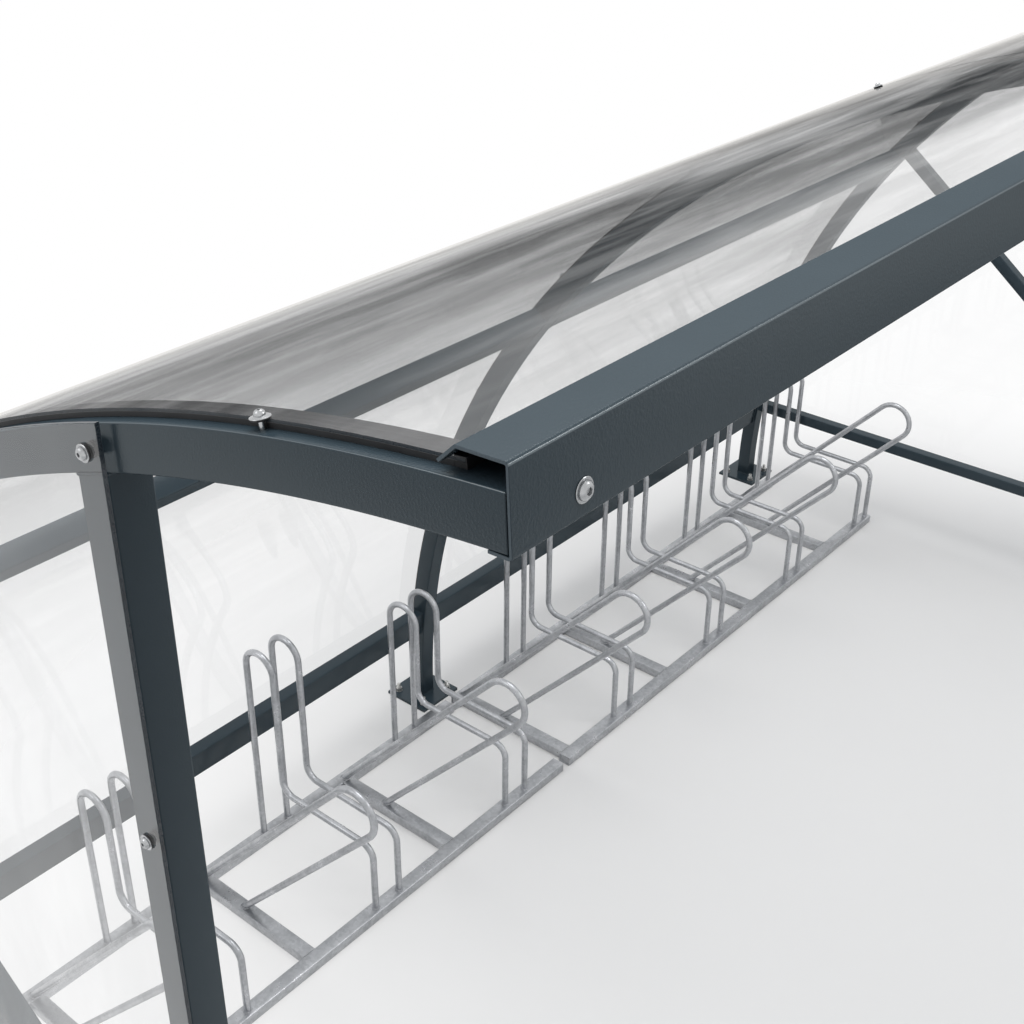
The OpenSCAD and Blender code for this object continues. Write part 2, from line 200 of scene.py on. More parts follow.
@dataclass(frozen=True)
class PowderCoat:
    """Fine textured powder coat on steel."""

    slot: ClassVar[str] = "frame_steel"
    name: str
    color: Triple
    worn: Triple
    roughness: Pair = (0.17, 0.25)
    grain: float = 400.0
    depth: float = 0.00030
    gloss: Pair = (0.018, 0.067)

    def shader(self, s: NodeSheet) -> Socket:
        """Builds a leathery grain, finer low down, and a patchy gloss that levels off.

        Args:
            s: The material's nodes.

        Returns:
            The shader.
        """
        patches = s.noise(3.5, 4.0, 0.6)
        leather = s.noise(self.grain, 1.0, 0.4, s.stretch((1.0, 1.0, 0.78)))
        strength = s.calc("MULTIPLY", s.span(s.noise(2.2), 0.10, 0.34),
                          s.span(s.axis(2), 0.3, 1.0, 1.6, 2.2))
        normal = s.bump(s.span(leather, 0.0, 1.0, 0.40, 0.66), strength, self.depth)
        normal = s.bump(s.noise(self.grain * 4.5), 0.10, self.depth * 0.25, normal)
        base = s.node("BsdfPrincipled", {
            "Base Color": s.mix(s.span(patches), self.color, self.worn), "Roughness": 0.6,
            "Normal": normal, "Specular IOR Level": 0.0})
        # The gloss colour is a faint blue: a painted tint of sky in the coat's reflections.
        gloss = s.node("BsdfGlossy", {"Color": (0.92, 0.98, 1.0), "Normal": normal,
                                      "Roughness": s.span(patches, *self.roughness)})
        fresnel = s.node("Fresnel", {"IOR": 1.5, "Normal": normal})
        share = s.calc("ADD", s.span(fresnel, *self.gloss, 0.03, 0.10, True),
                       s.span(fresnel, 0.0, 0.3, 0.3, 1.0))
        return s.blend(share, base, gloss)


@dataclass(frozen=True)
class Galvanised:
    """Hot-dip zinc with a faint spangle. The roughness runs from dark to light cells."""

    slot: ClassVar[str] = "galvanised_steel"
    name: str
    dark: Triple
    light: Triple
    spangle: float = 130.0
    metallic: float = 0.9
    roughness: Pair = (0.40, 0.26)

    def shader(self, s: NodeSheet) -> Socket:
        """Builds crystal cells of uneven tone and gloss under a cloudy film.

        Args:
            s: The material's nodes.

        Returns:
            The shader.
        """
        moved = s.mix(0.012, s.spot, s.noise(60.0).node.outputs["Color"])
        cells = s.node("TexVoronoi", {"Vector": moved, "Scale": self.spangle}, "Color")
        both = s.calc("ADD", s.span(s.node("RGBToBW", {0: cells}), 0.0, 0.35, 0.2, 0.8),
                      s.span(s.noise(14.0, 4.0, 0.6), 0.0, 0.65))
        return s.node("BsdfPrincipled", {
            "Base Color": s.mix(both, self.dark, self.light), "Metallic": self.metallic,
            "Roughness": s.span(both, *self.roughness, 0.1, 0.9),
            "Normal": s.bump(s.noise(160.0), 0.22, 0.00035)})


@dataclass(frozen=True)
class ClearSheet:
    """Clear plastic sheet, drawn on both faces of a closed thin solid."""

    slot: ClassVar[str] = "clear_sheet"
    name: str
    tint: Triple
    # Tone range of the painted reflections that streak the gloss.
    reflection_tone: Pair
    drawn: Triple
    # How much lighter the painted reflections are near the front edge.
    front: float = 0.0
    ior: float = 1.55
    haze: float = 0.012

    def shader(self, s: NodeSheet) -> Socket:
        """Builds a clear through-view, a gloss by angle whose colour carries painted reflections in
        streaks, and a faint film.

        The share of gloss is 2 f / (1 + f), where f is one face's, as light meets both faces.

        Args:
            s: The material's nodes.

        Returns:
            The shader.
        """
        along = s.stretch(self.drawn)
        lines = s.noise(15.0, 3.0, 0.6, along)
        # Painted reflections: streaks of darker tone in the gloss colour stand in for the
        # surroundings mirrored in the sheet, lighter near the front by the front amount.
        reflection_streaks = s.calc("ADD", s.span(s.noise(3.2, 2.0, 0.5, along, 0.25), 0.0, 0.68, 0.42, 0.68),
                         s.span(lines, 0.0, 0.32, 0.42, 0.68))
        tone = s.calc("ADD", s.span(reflection_streaks, *self.reflection_tone, 0.0, 1.0),
                      s.span(s.axis(1), self.front, 0.0, -0.92, -0.74))
        normal = s.bump(s.noise(1.8), 0.10, 0.001)
        fresnel = s.node("Fresnel", {"IOR": self.ior, "Normal": normal})
        mirror = s.calc("DIVIDE", s.calc("MULTIPLY", fresnel, 2.0), s.calc("ADD", fresnel, 1.0))
        # Gloss colour: the painted reflection tone at ordinary angles, turning to a painted warm
        # grey at the most glancing ones.
        color = s.mix(s.span(mirror, 0.0, 1.0, 0.74, 1.0, True),
                      s.span(mirror, 0.97, tone, 0.08, 0.34), (0.90, 0.885, 0.86))
        gloss = s.node("BsdfGlossy", {"Color": color, "Normal": normal,
                                      "Roughness": s.span(lines, 0.01, 0.05)})
        front = s.calc("SUBTRACT", 1.0, s.node("NewGeometry", out="Backfacing"))
        share = s.calc("MULTIPLY", s.span(mirror, 0.03, 1.0, 0.09, 1.0), front)
        glass = s.blend(share, s.node("BsdfTransparent", {"Color": self.tint}), gloss)
        dust = s.calc("MULTIPLY", s.span(s.noise(5.0, 4.0), self.haze * 0.4, self.haze * 1.6),
                      front)
        return s.blend(dust, glass, s.node("BsdfDiffuse", {"Color": (0.83, 0.85, 0.86)}))


@dataclass(frozen=True)
class SheetEdge:
    """Sawn edge of a clear sheet, where light is lost inside."""

    slot: ClassVar[str] = "clear_sheet"
    name: str
    color: Triple

    def shader(self, s: NodeSheet) -> Socket:
        """Builds a dark, glossy face, faintly scored along the saw's cut.

        Args:
            s: The material's nodes.

        Returns:
            The shader.
        """
        scored = s.noise(900.0, 1.0)
        return s.node("BsdfPrincipled", {
            "Base Color": s.mix(s.span(s.noise(40.0)), self.color, scaled(self.color, 1.9)),
            "Roughness": s.span(scored, 0.18, 0.4), "Normal": s.bump(scored, 0.3, 0.0001)})


@dataclass(frozen=True)
class Rubber:
    """Black moulded rubber with a dusty bloom."""

    slot: ClassVar[str] = "rubber"
    name: str
    color: Triple

    def shader(self, s: NodeSheet) -> Socket:
        """Builds a matt, fine pored face with pale dust in patches.

        Args:
            s: The material's nodes.

        Returns:
            The shader.
        """
        bloom = s.span(s.noise(30.0, 4.0, 0.6), 0.0, 1.0, 0.4, 0.75)
        return s.node("BsdfPrincipled", {
            "Base Color": s.mix(bloom, self.color, scaled(self.color, 2.2, 0.004)),
            "Roughness": s.span(bloom, 0.48, 0.7, 0.0, 1.0),
            "Normal": s.bump(s.noise(1500.0), 0.3, 0.0001)})


@dataclass(frozen=True)
class BrightSteel:
    """Turned or pressed bright steel of the fasteners."""

    slot: ClassVar[str] = "galvanised_steel"
    name: str
    color: Triple
    roughness: Pair = (0.16, 0.32)

    def shader(self, s: NodeSheet) -> Socket:
        """Builds bright metal with fine tool marks and handling smears.

        Args:
            s: The material's nodes.

        Returns:
            The shader.
        """
        smear = s.noise(120.0, 3.0)
        return s.node("BsdfPrincipled", {
            "Base Color": s.mix(s.span(smear), self.color, scaled(self.color, 0.82)),
            "Metallic": 1.0, "Roughness": s.span(smear, *self.roughness),
            "Normal": s.bump(s.noise(2600.0), 0.2, 0.00005)})


class Finish(Enum):
    """The finishes that pieces may take."""

    STEEL = PowderCoat("frame_steel", (0.028, 0.042, 0.052), (0.032, 0.047, 0.058))
    CUT_EDGE = PowderCoat("frame_steel_edge", (0.044, 0.064, 0.080), (0.056, 0.078, 0.096),
                          (0.26, 0.36), 500.0, 0.0002, (0.03, 0.10))
    # Painted highlight: a lighter colour and a much stronger gloss, laid on the eave's fold and the
    # frames' corner faces, paint the bright line that light draws along them.
    PAINTED_HIGHLIGHT = PowderCoat("frame_steel_painted_highlight", (0.036, 0.053, 0.065), (0.042, 0.061, 0.074),
                      (0.22, 0.30), 500.0, 0.0001, (0.10, 0.14))
    ZINC = Galvanised("galvanised_steel", (0.33, 0.34, 0.355), (0.53, 0.54, 0.56))
    ROOF = ClearSheet("clear_roof_sheet", (0.998, 0.999, 1.0), (0.05, 0.72), (0.22, 1.5, 1.5), 0.26)
    PANEL = ClearSheet("clear_gable_sheet", (0.998, 0.999, 1.0), (0.80, 1.0), (1.0, 1.6, 0.5))
    CLEAR_EDGE = SheetEdge("clear_sheet_edge", (0.018, 0.024, 0.030))
    RUBBER = Rubber("rubber", (0.010, 0.010, 0.011))
    STAINLESS = BrightSteel("stainless_steel", (0.50, 0.51, 0.52))
    ANCHOR = BrightSteel("zinc_plated_steel", (0.50, 0.50, 0.49), (0.28, 0.45))


@cache
def material_of(finish: Finish) -> bpy.types.Material:
    """Returns the finish's material, which the first call makes."""
    made = bpy.data.materials.new(finish.value.name)
    sheet = NodeSheet(made)
    sheet.done(finish.value.shader(sheet))
    return made


# ---------------------------------------------------------------- geometry


@dataclass(frozen=True)
class Axes:
    """A place with two drawing axes and the axis across them."""

    origin: Points
    a: Points
    b: Points
    c: Points

    @staticmethod
    def side(x: float, angle: float = 90.0, height: float = 0.0) -> "Axes":
        """Gives axes at the bend's centre: outwards at an angle, then forwards round the bend.

        At the default angle these are back and up, so they are the side view's axes.

        Args:
            x: Place along the shelter.
            angle: Degrees from straight up towards the rear.
            height: Height of the place.

        Returns:
            The axes.
        """
        s, c = math.sin(math.radians(angle)), math.cos(math.radians(angle))
        return Axes(np.array([x, -ORIGIN_BACK, height]), np.array([0.0, s, c]),
                    np.array([0.0, -c, s]), np.array([1.0, 0.0, 0.0]))

    def at(self, a: Points | float, b: Points | float, c: Points | float = 0.0) -> Points:
        """Returns the point or points at these drawing coordinates."""
        a, b, c = np.broadcast_arrays(np.asarray(a, float), b, c)
        return self.origin + a[..., None] * self.a + b[..., None] * self.b + c[..., None] * self.c

    def lay(self, flat: Points, c: Points | float = 0.0) -> Points:
        """Returns the points at drawn ones, c to the side of the drawing."""
        return self.at(flat[..., 0], flat[..., 1], c)


def turns(count: int, start: float = 0.0) -> Points:
    """Returns so many even angles round a full turn."""
    return np.arange(count) * math.tau / count + start


def round_section(radius: float, sides: int = 16) -> Points:
    """Returns a circle of points round its middle."""
    return radius * np.stack([np.cos(turns(sides)), np.sin(turns(sides))], 1)


def rounded_section(width: float, depth: float, radius: float, steps: int = 4) -> Points:
    """Gives a rectangle with round corners as points round its middle.

    Each corner is a quarter circle about a centre set in by the radius.

    Args:
        width: Size across.
        depth: Size in the drawing plane.
        radius: Corner radius.
        steps: Segments in each corner.

    Returns:
        Points in turn, as (across, in plane).
    """
    inset = np.array([width, depth]) / 2 - radius
    corners = []
    for k, way in enumerate(((1, 1), (-1, 1), (-1, -1), (1, -1))):
        t = np.linspace(0, math.pi / 2, steps + 1) + k * math.pi / 2
        corners.append(inset * way + radius * np.stack([np.cos(t), np.sin(t)], 1))
    return np.concatenate(corners)


def densified(outline: Points) -> Points:
    """Splits the sides of a closed outline into steps for a weld bead.

    Args:
        outline: The outline's points in turn.

    Returns:
        The points with those between them.
    """
    out = []
    for a, b in zip(outline, np.roll(outline, -1, 0)):
        n = max(1, int(np.linalg.norm(b - a) / WELD_STEP))
        out.append(a + (b - a) * (np.arange(n) / n)[:, None])
    return np.concatenate(out)


def normals_of(tangents: Points) -> Points:
    """Returns the directions to the left of a line's tangents."""
    return np.stack([-tangents[:, 1], tangents[:, 0]], 1)


def bent_line(corners: Sequence[Pair], radii: Sequence[float], steps: int = 8) -> Line:
    """Rounds the corners of a line, each by an arc that touches both legs.

    Args:
        corners: The line's corner points, ends included.
        radii: Bend radius at each inner corner.
        steps: Segments in each bend.

    Returns:
        The points and the unit tangents there.
    """
    p = np.asarray(corners, float)
    legs = np.diff(p, axis=0)
    legs /= np.linalg.norm(legs, axis=1)[:, None]
    points, tangents = [p[:1]], [legs[:1]]
    for corner, u, v, r in zip(p[1:], legs, legs[1:], radii):
        turn = math.atan2(u[0] * v[1] - u[1] * v[0], float(u @ v))
        left = np.array([-u[1], u[0]])
        side = left * math.copysign(r, turn)
        centre = corner - u * r * math.tan(abs(turn) / 2) + side
        t = np.linspace(0, turn, steps + 1)[:, None]
        points.append(centre - np.cos(t) * side + np.sin(t) * u * math.copysign(r, turn))
        tangents.append(np.cos(t) * u + np.sin(t) * left)
    return np.concatenate([*points, p[-1:]]), np.concatenate([*tangents, legs[-1:]])


def sweep(axes: Axes, line: Line, section: Points) -> Points:
    """Carries a section along a line in the drawing plane.

    A ring is the line's point plus the section's first value across the plane and its second
    value along the line's normal.

    Args:
        axes: The drawing axes.
        line: Points and unit tangents in the plane.
        section: Section points, as (across, in plane).

    Returns:
        Rings of points, shaped (stations, section, 3).
    """
    points, tangents = line
    flat = points[:, None] + section[:, 1:] * normals_of(tangents)[:, None]
    return axes.lay(flat, section[:, 0])


def turned(profile: Sequence[Pair], sides: int = 24, hexes: Sequence[int] = ()) -> Points:
    """Gives rings about an upright axis, round or six-sided.

    A hexagon's side lies flats / 2 / cos(t) from the middle, with t from the side's middle.

    Args:
        profile: Radius and height of each ring. A hexagon has its size over the flats instead.
        sides: Points in each ring.
        hexes: Which rings are hexagons.

    Returns:
        Rings of points, shaped (rings, sides, 3).
    """
    t = turns(sides)
    rings = []
    for k, (size, height) in enumerate(profile):
        r = size / 2 / np.cos(t % (math.pi / 3) - math.pi / 6) if k in hexes else size + 0 * t
        rings.append(np.stack([r * np.cos(t), r * np.sin(t), height + 0 * t], 1))
    return np.array(rings)


def placing(point: Points, direction: Points, roll: float = 0.0) -> Matrix:
    """Gives the matrix that puts an upright part at a point, standing along a direction.

    Args:
        point: Where its foot goes.
        direction: Where its top points.
        roll: Turn about its own axis in degrees.

    Returns:
        The matrix.
    """
    turn = Vector(direction).normalized().to_track_quat("Z", "Y").to_matrix().to_4x4()
    return Matrix.Translation(Vector(point)) @ turn @ Matrix.Rotation(math.radians(roll), 4, "Z")


class Shape:
    """A mesh under construction, made of closed solids."""

    def __init__(self) -> None:
        """Starts empty."""
        self.verts: list[Points] = []
        self.faces: list[list[int]] = []
        self.marks: list[int] = []
        self.count = 0

    def loft(self, rings: Sequence[Points], mark: int = 0, cap: int | None = None,
             closed: bool = False, stripes: Sequence[int] = (), ribbon: bool = False) -> None:
        """Adds the skin over a row of rings.

        Args:
            rings: Points shaped (stations, section, 3).
            mark: Number of the skin's finish.
            cap: Number of the end faces' finish, as the skin's if None.
            closed: Whether the last ring joins the first, with no end faces.
            stripes: Places round the section whose faces take the next finish number.
            ribbon: Whether a ring is both sides of a strip, whose ends are rows of quads.
        """
        rings = np.asarray(rings)
        n, m = rings.shape[:2]
        i, j = np.indices((n if closed else n - 1, m))
        i2, j2 = (i + 1) % n, (j + 1) % m
        quads = np.stack([i * m + j, i * m + j2, i2 * m + j2, i2 * m + j], -1)
        faces = quads.reshape(-1, 4).tolist()
        marks = (mark + np.isin(j, stripes)).ravel().tolist()
        for end in () if closed else (range(m)[::-1], range((n - 1) * m, n * m)):
            caps = [[end[k], end[k + 1], end[-2 - k], end[-1 - k]]
                    for k in range(m // 2 - 1)] if ribbon else [end]
            faces += caps
            marks += [mark if cap is None else cap] * len(caps)
        self.faces += [[self.count + k for k in face] for face in faces]
        self.marks += marks
        self.verts.append(rings.reshape(-1, 3))
        self.count += n * m

    def bar(self, axes: Axes, line: Line, section: Points, lean: float = 0.0,
            stripes: Sequence[int] = ()) -> None:
        """Adds a tube or bar along a line, its ends eased by a small chamfer.

        A leaning first cut starts further along by lean times the distance from the section's
        outermost point.

        Args:
            axes: The drawing axes.
            line: Points and unit tangents in the plane.
            section: Section points.
            lean: Slope of the first cut.
            stripes: Places round the section whose faces take the next finish number.
        """
        points, tangents = line
        points = np.concatenate([points[:1], points[:1] + tangents[:1] * END_EASE, points[1:-1],
                                 points[-1:] - tangents[-1:] * END_EASE, points[-1:]])
        tangents = np.concatenate([tangents[:1], tangents, tangents[-1:]])
        rings = sweep(axes, (points, tangents), section)
        slip = (lean * (section[:, 1].max() - section[:, 1]))[:, None]
        rings[:2] += slip * (tangents[0, 0] * axes.a + tangents[0, 1] * axes.b)
        small = 1 - END_EASE / np.abs(section).max()
        for k in (0, -1):
            rings[k] = rings[k].mean(0) + (rings[k] - rings[k].mean(0)) * small
        self.loft(rings, stripes=stripes)

    def bead(self, path: Points, radius: float = FOOT_WELD) -> None:
        """Adds a closed weld bead along a closed path, its radius rippling a little.

        Args:
            path: Points of the closed path.
            radius: Mean radius.
        """
        ahead = np.roll(path, -1, 0) - np.roll(path, 1, 0)
        ahead /= np.linalg.norm(ahead, axis=1)[:, None]
        helper = np.where(np.abs(ahead[:, 2:]) < 0.9, [[0.0, 0.0, 1.0]], [[1.0, 0.0, 0.0]])
        u = np.cross(ahead, helper)
        u /= np.linalg.norm(u, axis=1)[:, None]
        v = np.cross(ahead, u)
        size = radius * (1 + 0.16 * np.sin(np.arange(len(path)) * 2.1))
        t = turns(6)[:, None]
        self.loft(path[:, None] + size[:, None, None] * (np.cos(t) * u[:, None]
                                                         + np.sin(t) * v[:, None]), closed=True)

    def copies(self, solids: Solids, places: Sequence[Matrix]) -> None:
        """Adds lofted solids, given as rings and finish number, at each placing matrix."""
        for place in np.array(places):
            for rings, mark in solids:
                self.loft(rings @ place[:3, :3].T + place[:3, 3], mark)

    def build(self, name: str, finishes: Sequence[Finish], nodes: Sequence[str] = (),
              sharp: float = 32.0) -> None:
        """Makes the object, lets it ride on the body and says which nodes it stands for.

        Args:
            name: The piece's name.
            finishes: Finish of each mark number.
            nodes: CAD nodes that it replaces.
            sharp: Angle in degrees from which an edge stays sharp.
        """
        mesh = bpy.data.meshes.new(name)
        mesh.from_pydata(np.concatenate(self.verts).tolist(), [], self.faces)
        mesh.polygons.foreach_set("material_index", self.marks)
        work = bmesh.new()
        work.from_mesh(mesh)
        bmesh.ops.recalc_face_normals(work, faces=work.faces)
        work.to_mesh(mesh)
        work.free()
        for finish in finishes:
            mesh.materials.append(material_of(finish))
        mesh.shade_smooth()
        mesh.set_sharp_from_angle(angle=math.radians(sharp))
        made = bpy.data.objects.new(name, mesh)
        bpy.context.scene.collection.objects.link(made)
        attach(made, "root")
        if nodes:
            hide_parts(*nodes)
        LOG.info("%s: %d faces, for %s", name, len(self.faces), ", ".join(nodes) or "no node")


# ---------------------------------------------------------------- fasteners


@dataclass(frozen=True)
class FlangeBolt:
    """Low round-headed bolt with a flange and a six-sided socket."""

    flange: float = 0.0106
    head: float = 0.0082
    height: float = 0.0050
    socket: float = 0.0060

    def solids(self) -> Solids:
        """Returns the washer and the head, standing on height 0."""
        f, r, h, s, w = self.flange, self.head, self.height, self.socket, 0.0010
        washer = [(f - 0.0003, 0.0), (f, 0.0003), (f, w - 0.0003), (f - 0.0004, w), (r * 0.9, w)]
        head = [(r * 0.96, w), (r, w + 0.0004), (r, w + 0.0010), (r * 0.97, w + 0.0017),
                (r * 0.88, w + 0.0027), (r * 0.74, w + h * 0.70), (r * 0.60, w + h * 0.80),
                (r * 0.50, w + h * 0.83), (s, w + h * 0.81), (s, w + h * 0.3),
                (s * 0.3, w + h * 0.2)]
        return [(turned(washer, 36), 0), (turned(head, 36, (8, 9)), 0)]


@dataclass(frozen=True)
class PanelScrew:
    """Small button-head screw with a washer and a rubber seal under it."""

    washer: float = 0.0094
    head: float = 0.0068
    height: float = 0.0046
    socket: float = 0.0042
    seal: float = 0.0021

    def solids(self) -> Solids:
        """Returns the seal, the washer and the head, standing on height 0."""
        r, h, w, s, k = self.head, self.height, self.washer, self.seal, self.socket
        b = s + 0.0011
        seal = [(w * 0.96, 0.0), (w * 1.01, s * 0.5), (w * 0.96, s)]
        rim = [(w - 0.0002, s), (w, s + 0.0002), (w, s + 0.0008), (w - 0.0003, b), (r * 0.9, b)]
        head = [(r * 0.97, b), (r, b + 0.0004), (r * 0.98, b + h * 0.3), (r * 0.87, b + h * 0.62),
                (r * 0.68, b + h * 0.86), (r * 0.5, b + h * 0.93), (k, b + h * 0.9),
                (k, b + h * 0.35), (k * 0.3, b + h * 0.25)]
        return [(turned(seal, 28), 1), (turned(rim, 28), 0), (turned(head, 28, (6, 7)), 0)]


@dataclass(frozen=True)
class RoofScrew:
    """Domed screw on a wide cup washer, with a rubber seal and a bright stem below."""

    washer: float = 0.0094
    head: float = 0.0052
    stem: float = 0.0027
    drop: float = 0.0084
    socket: float = 0.0030

    def solids(self) -> Solids:
        """Returns the stem, the seal, the washer and the head; height 0 is the sheet's top."""
        w, r, k = self.washer, self.head, self.socket
        stem = [(self.stem, -self.drop), (self.stem, 0.0004)]
        seal = [(w * 0.86, 0.0), (w * 0.93, 0.0010), (w * 0.90, 0.0021)]
        cup = [(w - 0.0002, 0.0019), (w, 0.0022), (w - 0.0003, 0.0027), (r * 1.12, 0.0040),
               (r * 0.9, 0.0041)]
        head = [(r, 0.0041), (r, 0.0048), (r * 0.93, 0.0061), (r * 0.76, 0.0075),
                (r * 0.5, 0.0084), (k, 0.0083), (k, 0.0060), (k / 3, 0.0055)]
        return [(turned(stem, 16), 0), (turned(seal, 28), 1), (turned(cup, 28), 0),
                (turned(head, 28, (5, 6)), 0)]


@dataclass(frozen=True)
class Anchor:
    """Ground anchor's stud with washer and nut."""

    stud: float = 0.0058
    rise: float = 0.027
    nut: float = 0.019
    washer: float = 0.0115
    thread: float = 0.0016

    def solids(self) -> Solids:
        """Returns washer, nut and threaded stud, standing on height 0."""
        w, n, r, top = self.washer, self.nut, self.stud, self.rise
        washer = [(w - 0.0003, 0.0), (w, 0.0004), (w, 0.0021), (w - 0.0004, 0.0025), (r, 0.0025)]
        nut = [(n * 0.46, 0.0025), (n, 0.0036), (n, 0.0115), (n * 0.47, 0.0126), (r, 0.0124)]
        stud = [(r * 0.9, 0.0122)]
        for z in np.arange(0.0128, top - 0.002, self.thread):
            stud += [(r, z), (r * 0.87, z + self.thread / 2)]
        stud += [(r, top - self.thread), (r * 0.8, top)]
        return [(turned(washer), 0), (turned(nut, 24, (1, 2)), 0), (turned(stud, 16), 0)]


# ---------------------------------------------------------------- frames


@dataclass
class BentFrames:
    """The three bent frames, and the foot plates and anchors of frames and posts."""

    bay: float = 2.0
    outer: float = 2.297
    depth: float = 0.050
    width: float = 0.050
    corner: float = 0.0025
    # Corner faces round the section that carry the painted highlight stripe.
    highlight_edge_faces: tuple[int, int] = (2, 8)
    centre_height: float = 0.050
    front_angle: float = 5.75
    end_tilt: float = 3.2
    post_back: float = 0.730
    foot: float = 0.160
    foot_thickness: float = 0.010
    foot_ease: float = 0.001
    anchor_spacing: float = 0.110
    anchor_hole: float = 0.0065

    @property
    def middle(self) -> float:
        """Radius of the tube's centre line."""
        return self.outer - self.depth / 2

    @property
    def inner(self) -> float:
        """Radius of the tube's inner face."""
        return self.outer - self.depth

    @property
    def half_length(self) -> float:
        """Half the length over the frames."""
        return self.bay + self.width / 2

    @property
    def places(self) -> dict[str, float]:
        """Place of each frame along the shelter."""
        return {"left": -self.bay, "middle": 0.0, "right": self.bay}

    def bend(self, x: float, angle: float) -> Axes:
        """Returns axes at the bend's centre, outwards at an angle from straight up."""
        return Axes.side(x, angle, self.centre_height)

    def arc(self, radius: Points | float, angle: Points) -> Points:
        """Returns (back, height) of points about the bend's centre, by radians from the top."""
        return np.stack([radius * np.sin(angle), self.centre_height + radius * np.cos(angle)], -1)

    def front_end(self, x: float) -> Axes:
        """Gives axes at the outer edge of a frame's front end, level with its cut.

        Args:
            x: Place along the shelter.

        Returns:
            The axes: outwards, then forwards.
        """
        tilted = self.bend(x, self.end_tilt)
        start = self.bend(x, self.front_angle).at(self.outer, 0.0)
        return Axes(start, tilted.a, tilted.b, tilted.c)

    def centre_line(self) -> Line:
        """Computes the frame's centre line: an arc about the bend's centre, then straight down.

        Returns:
            Points and tangents as (back, height).
        """
        t = np.radians(np.linspace(self.front_angle, 90.0, 150))
        tangents = np.stack([np.cos(t), -np.sin(t)], 1)
        return (np.concatenate([self.arc(self.middle, t), [[self.middle, self.foot_thickness]]]),
                np.concatenate([tangents, [[0.0, -1.0]]]))

    def plate(self, shape: Shape, x: float, back: float) -> None:
        """Adds a foot plate with four drilled holes and eased edges.

        Each quarter of the plate is a ring of quads from its hole's rim to its outline. A ray
        from the hole's centre reaches the outline at min((limit - centre) / direction).

        Args:
            shape: The mesh to add to.
            x: Place along the shelter.
            back: Distance behind the bend's centre.
        """
        half, z, ease = self.foot / 2, self.foot_thickness, self.foot_ease
        t = turns(32, math.pi / 4)
        ray = np.stack([np.cos(t), np.sin(t)], 1)
        for corner in half * np.array([(-1, -1), (-1, 1), (1, -1), (1, 1)]):
            centre = np.sign(corner) * self.anchor_spacing / 2
            limit = np.where(ray > 0, np.maximum(corner, 0), np.minimum(corner, 0)) - centre
            with np.errstate(divide="ignore", invalid="ignore"):
                reach = np.where(np.abs(ray) > 1e-9, limit / ray, 9.0).min(1)
            out = centre + reach[:, None] * ray
            for spot in (corner, corner * 0, corner * [1, 0], corner * [0, 1]):
                out[np.argmin(np.linalg.norm(out - spot, axis=1))] = spot
            rim = centre + self.anchor_hole * ray
            eased = np.clip(out, ease - half, half - ease)
            rows = ((rim, z), (eased, z), (out, z - ease), (out, 0.0), (rim, 0.0))
            shape.loft([np.column_stack([flat + [x, back - ORIGIN_BACK],
                                         np.full(len(flat), level)]) for flat, level in rows],
                       closed=True)

    def build_feet(self) -> None:
        """Builds the foot plates of frames and posts with their anchors."""
        plates = [(f"foot_plate_{side}", f"rear_foot_{side}", x, self.middle)
                  for side, x in self.places.items()]
        plates += [(f"post_plate_{side}", f"post_foot_{side}", way * self.bay, self.post_back)
                   for side, way in SIDES.items()]
        half = self.anchor_spacing / 2
        anchors: list[Matrix] = []
        for name, node, x, back in plates:
            shape = Shape()
            self.plate(shape, x, back)
            shape.build(name, [Finish.STEEL], [node])
            for i, j in ((-half, -half), (-half, half), (half, -half), (half, half)):
                anchors.append(placing((x + i, back + j - ORIGIN_BACK, self.foot_thickness),
                                       (0.0, 0.0, 1.0), 17.0 * len(anchors)))
        shape = Shape()
        shape.copies(Anchor().solids(), anchors)
        shape.build("ground_anchors", [Finish.ANCHOR])

    def build(self) -> None:
        """Builds one piece for each bent frame, with the weld to its foot, then the feet."""
        section = rounded_section(self.width, self.depth, self.corner, 5)
        path = densified(rounded_section(self.width, self.depth, self.corner, 2))
        lean = math.tan(math.radians(self.front_angle - self.end_tilt))
        weld_height = self.foot_thickness + FOOT_WELD_RISE
        for side, x in self.places.items():
            shape, axes = Shape(), Axes.side(x)
            # The frame's two corner faces take the painted highlight finish, a lighter, glossier
            # stripe that paints a bright line along the corners.
            shape.bar(axes, self.centre_line(), section, lean, self.highlight_edge_faces)
            shape.bead(axes.at(self.middle + path[:, 1], weld_height, path[:, 0]))
            shape.build(f"bent_frame_{side}", [Finish.STEEL, Finish.PAINTED_HIGHLIGHT], [f"arch_{side}"])
        self.build_feet()


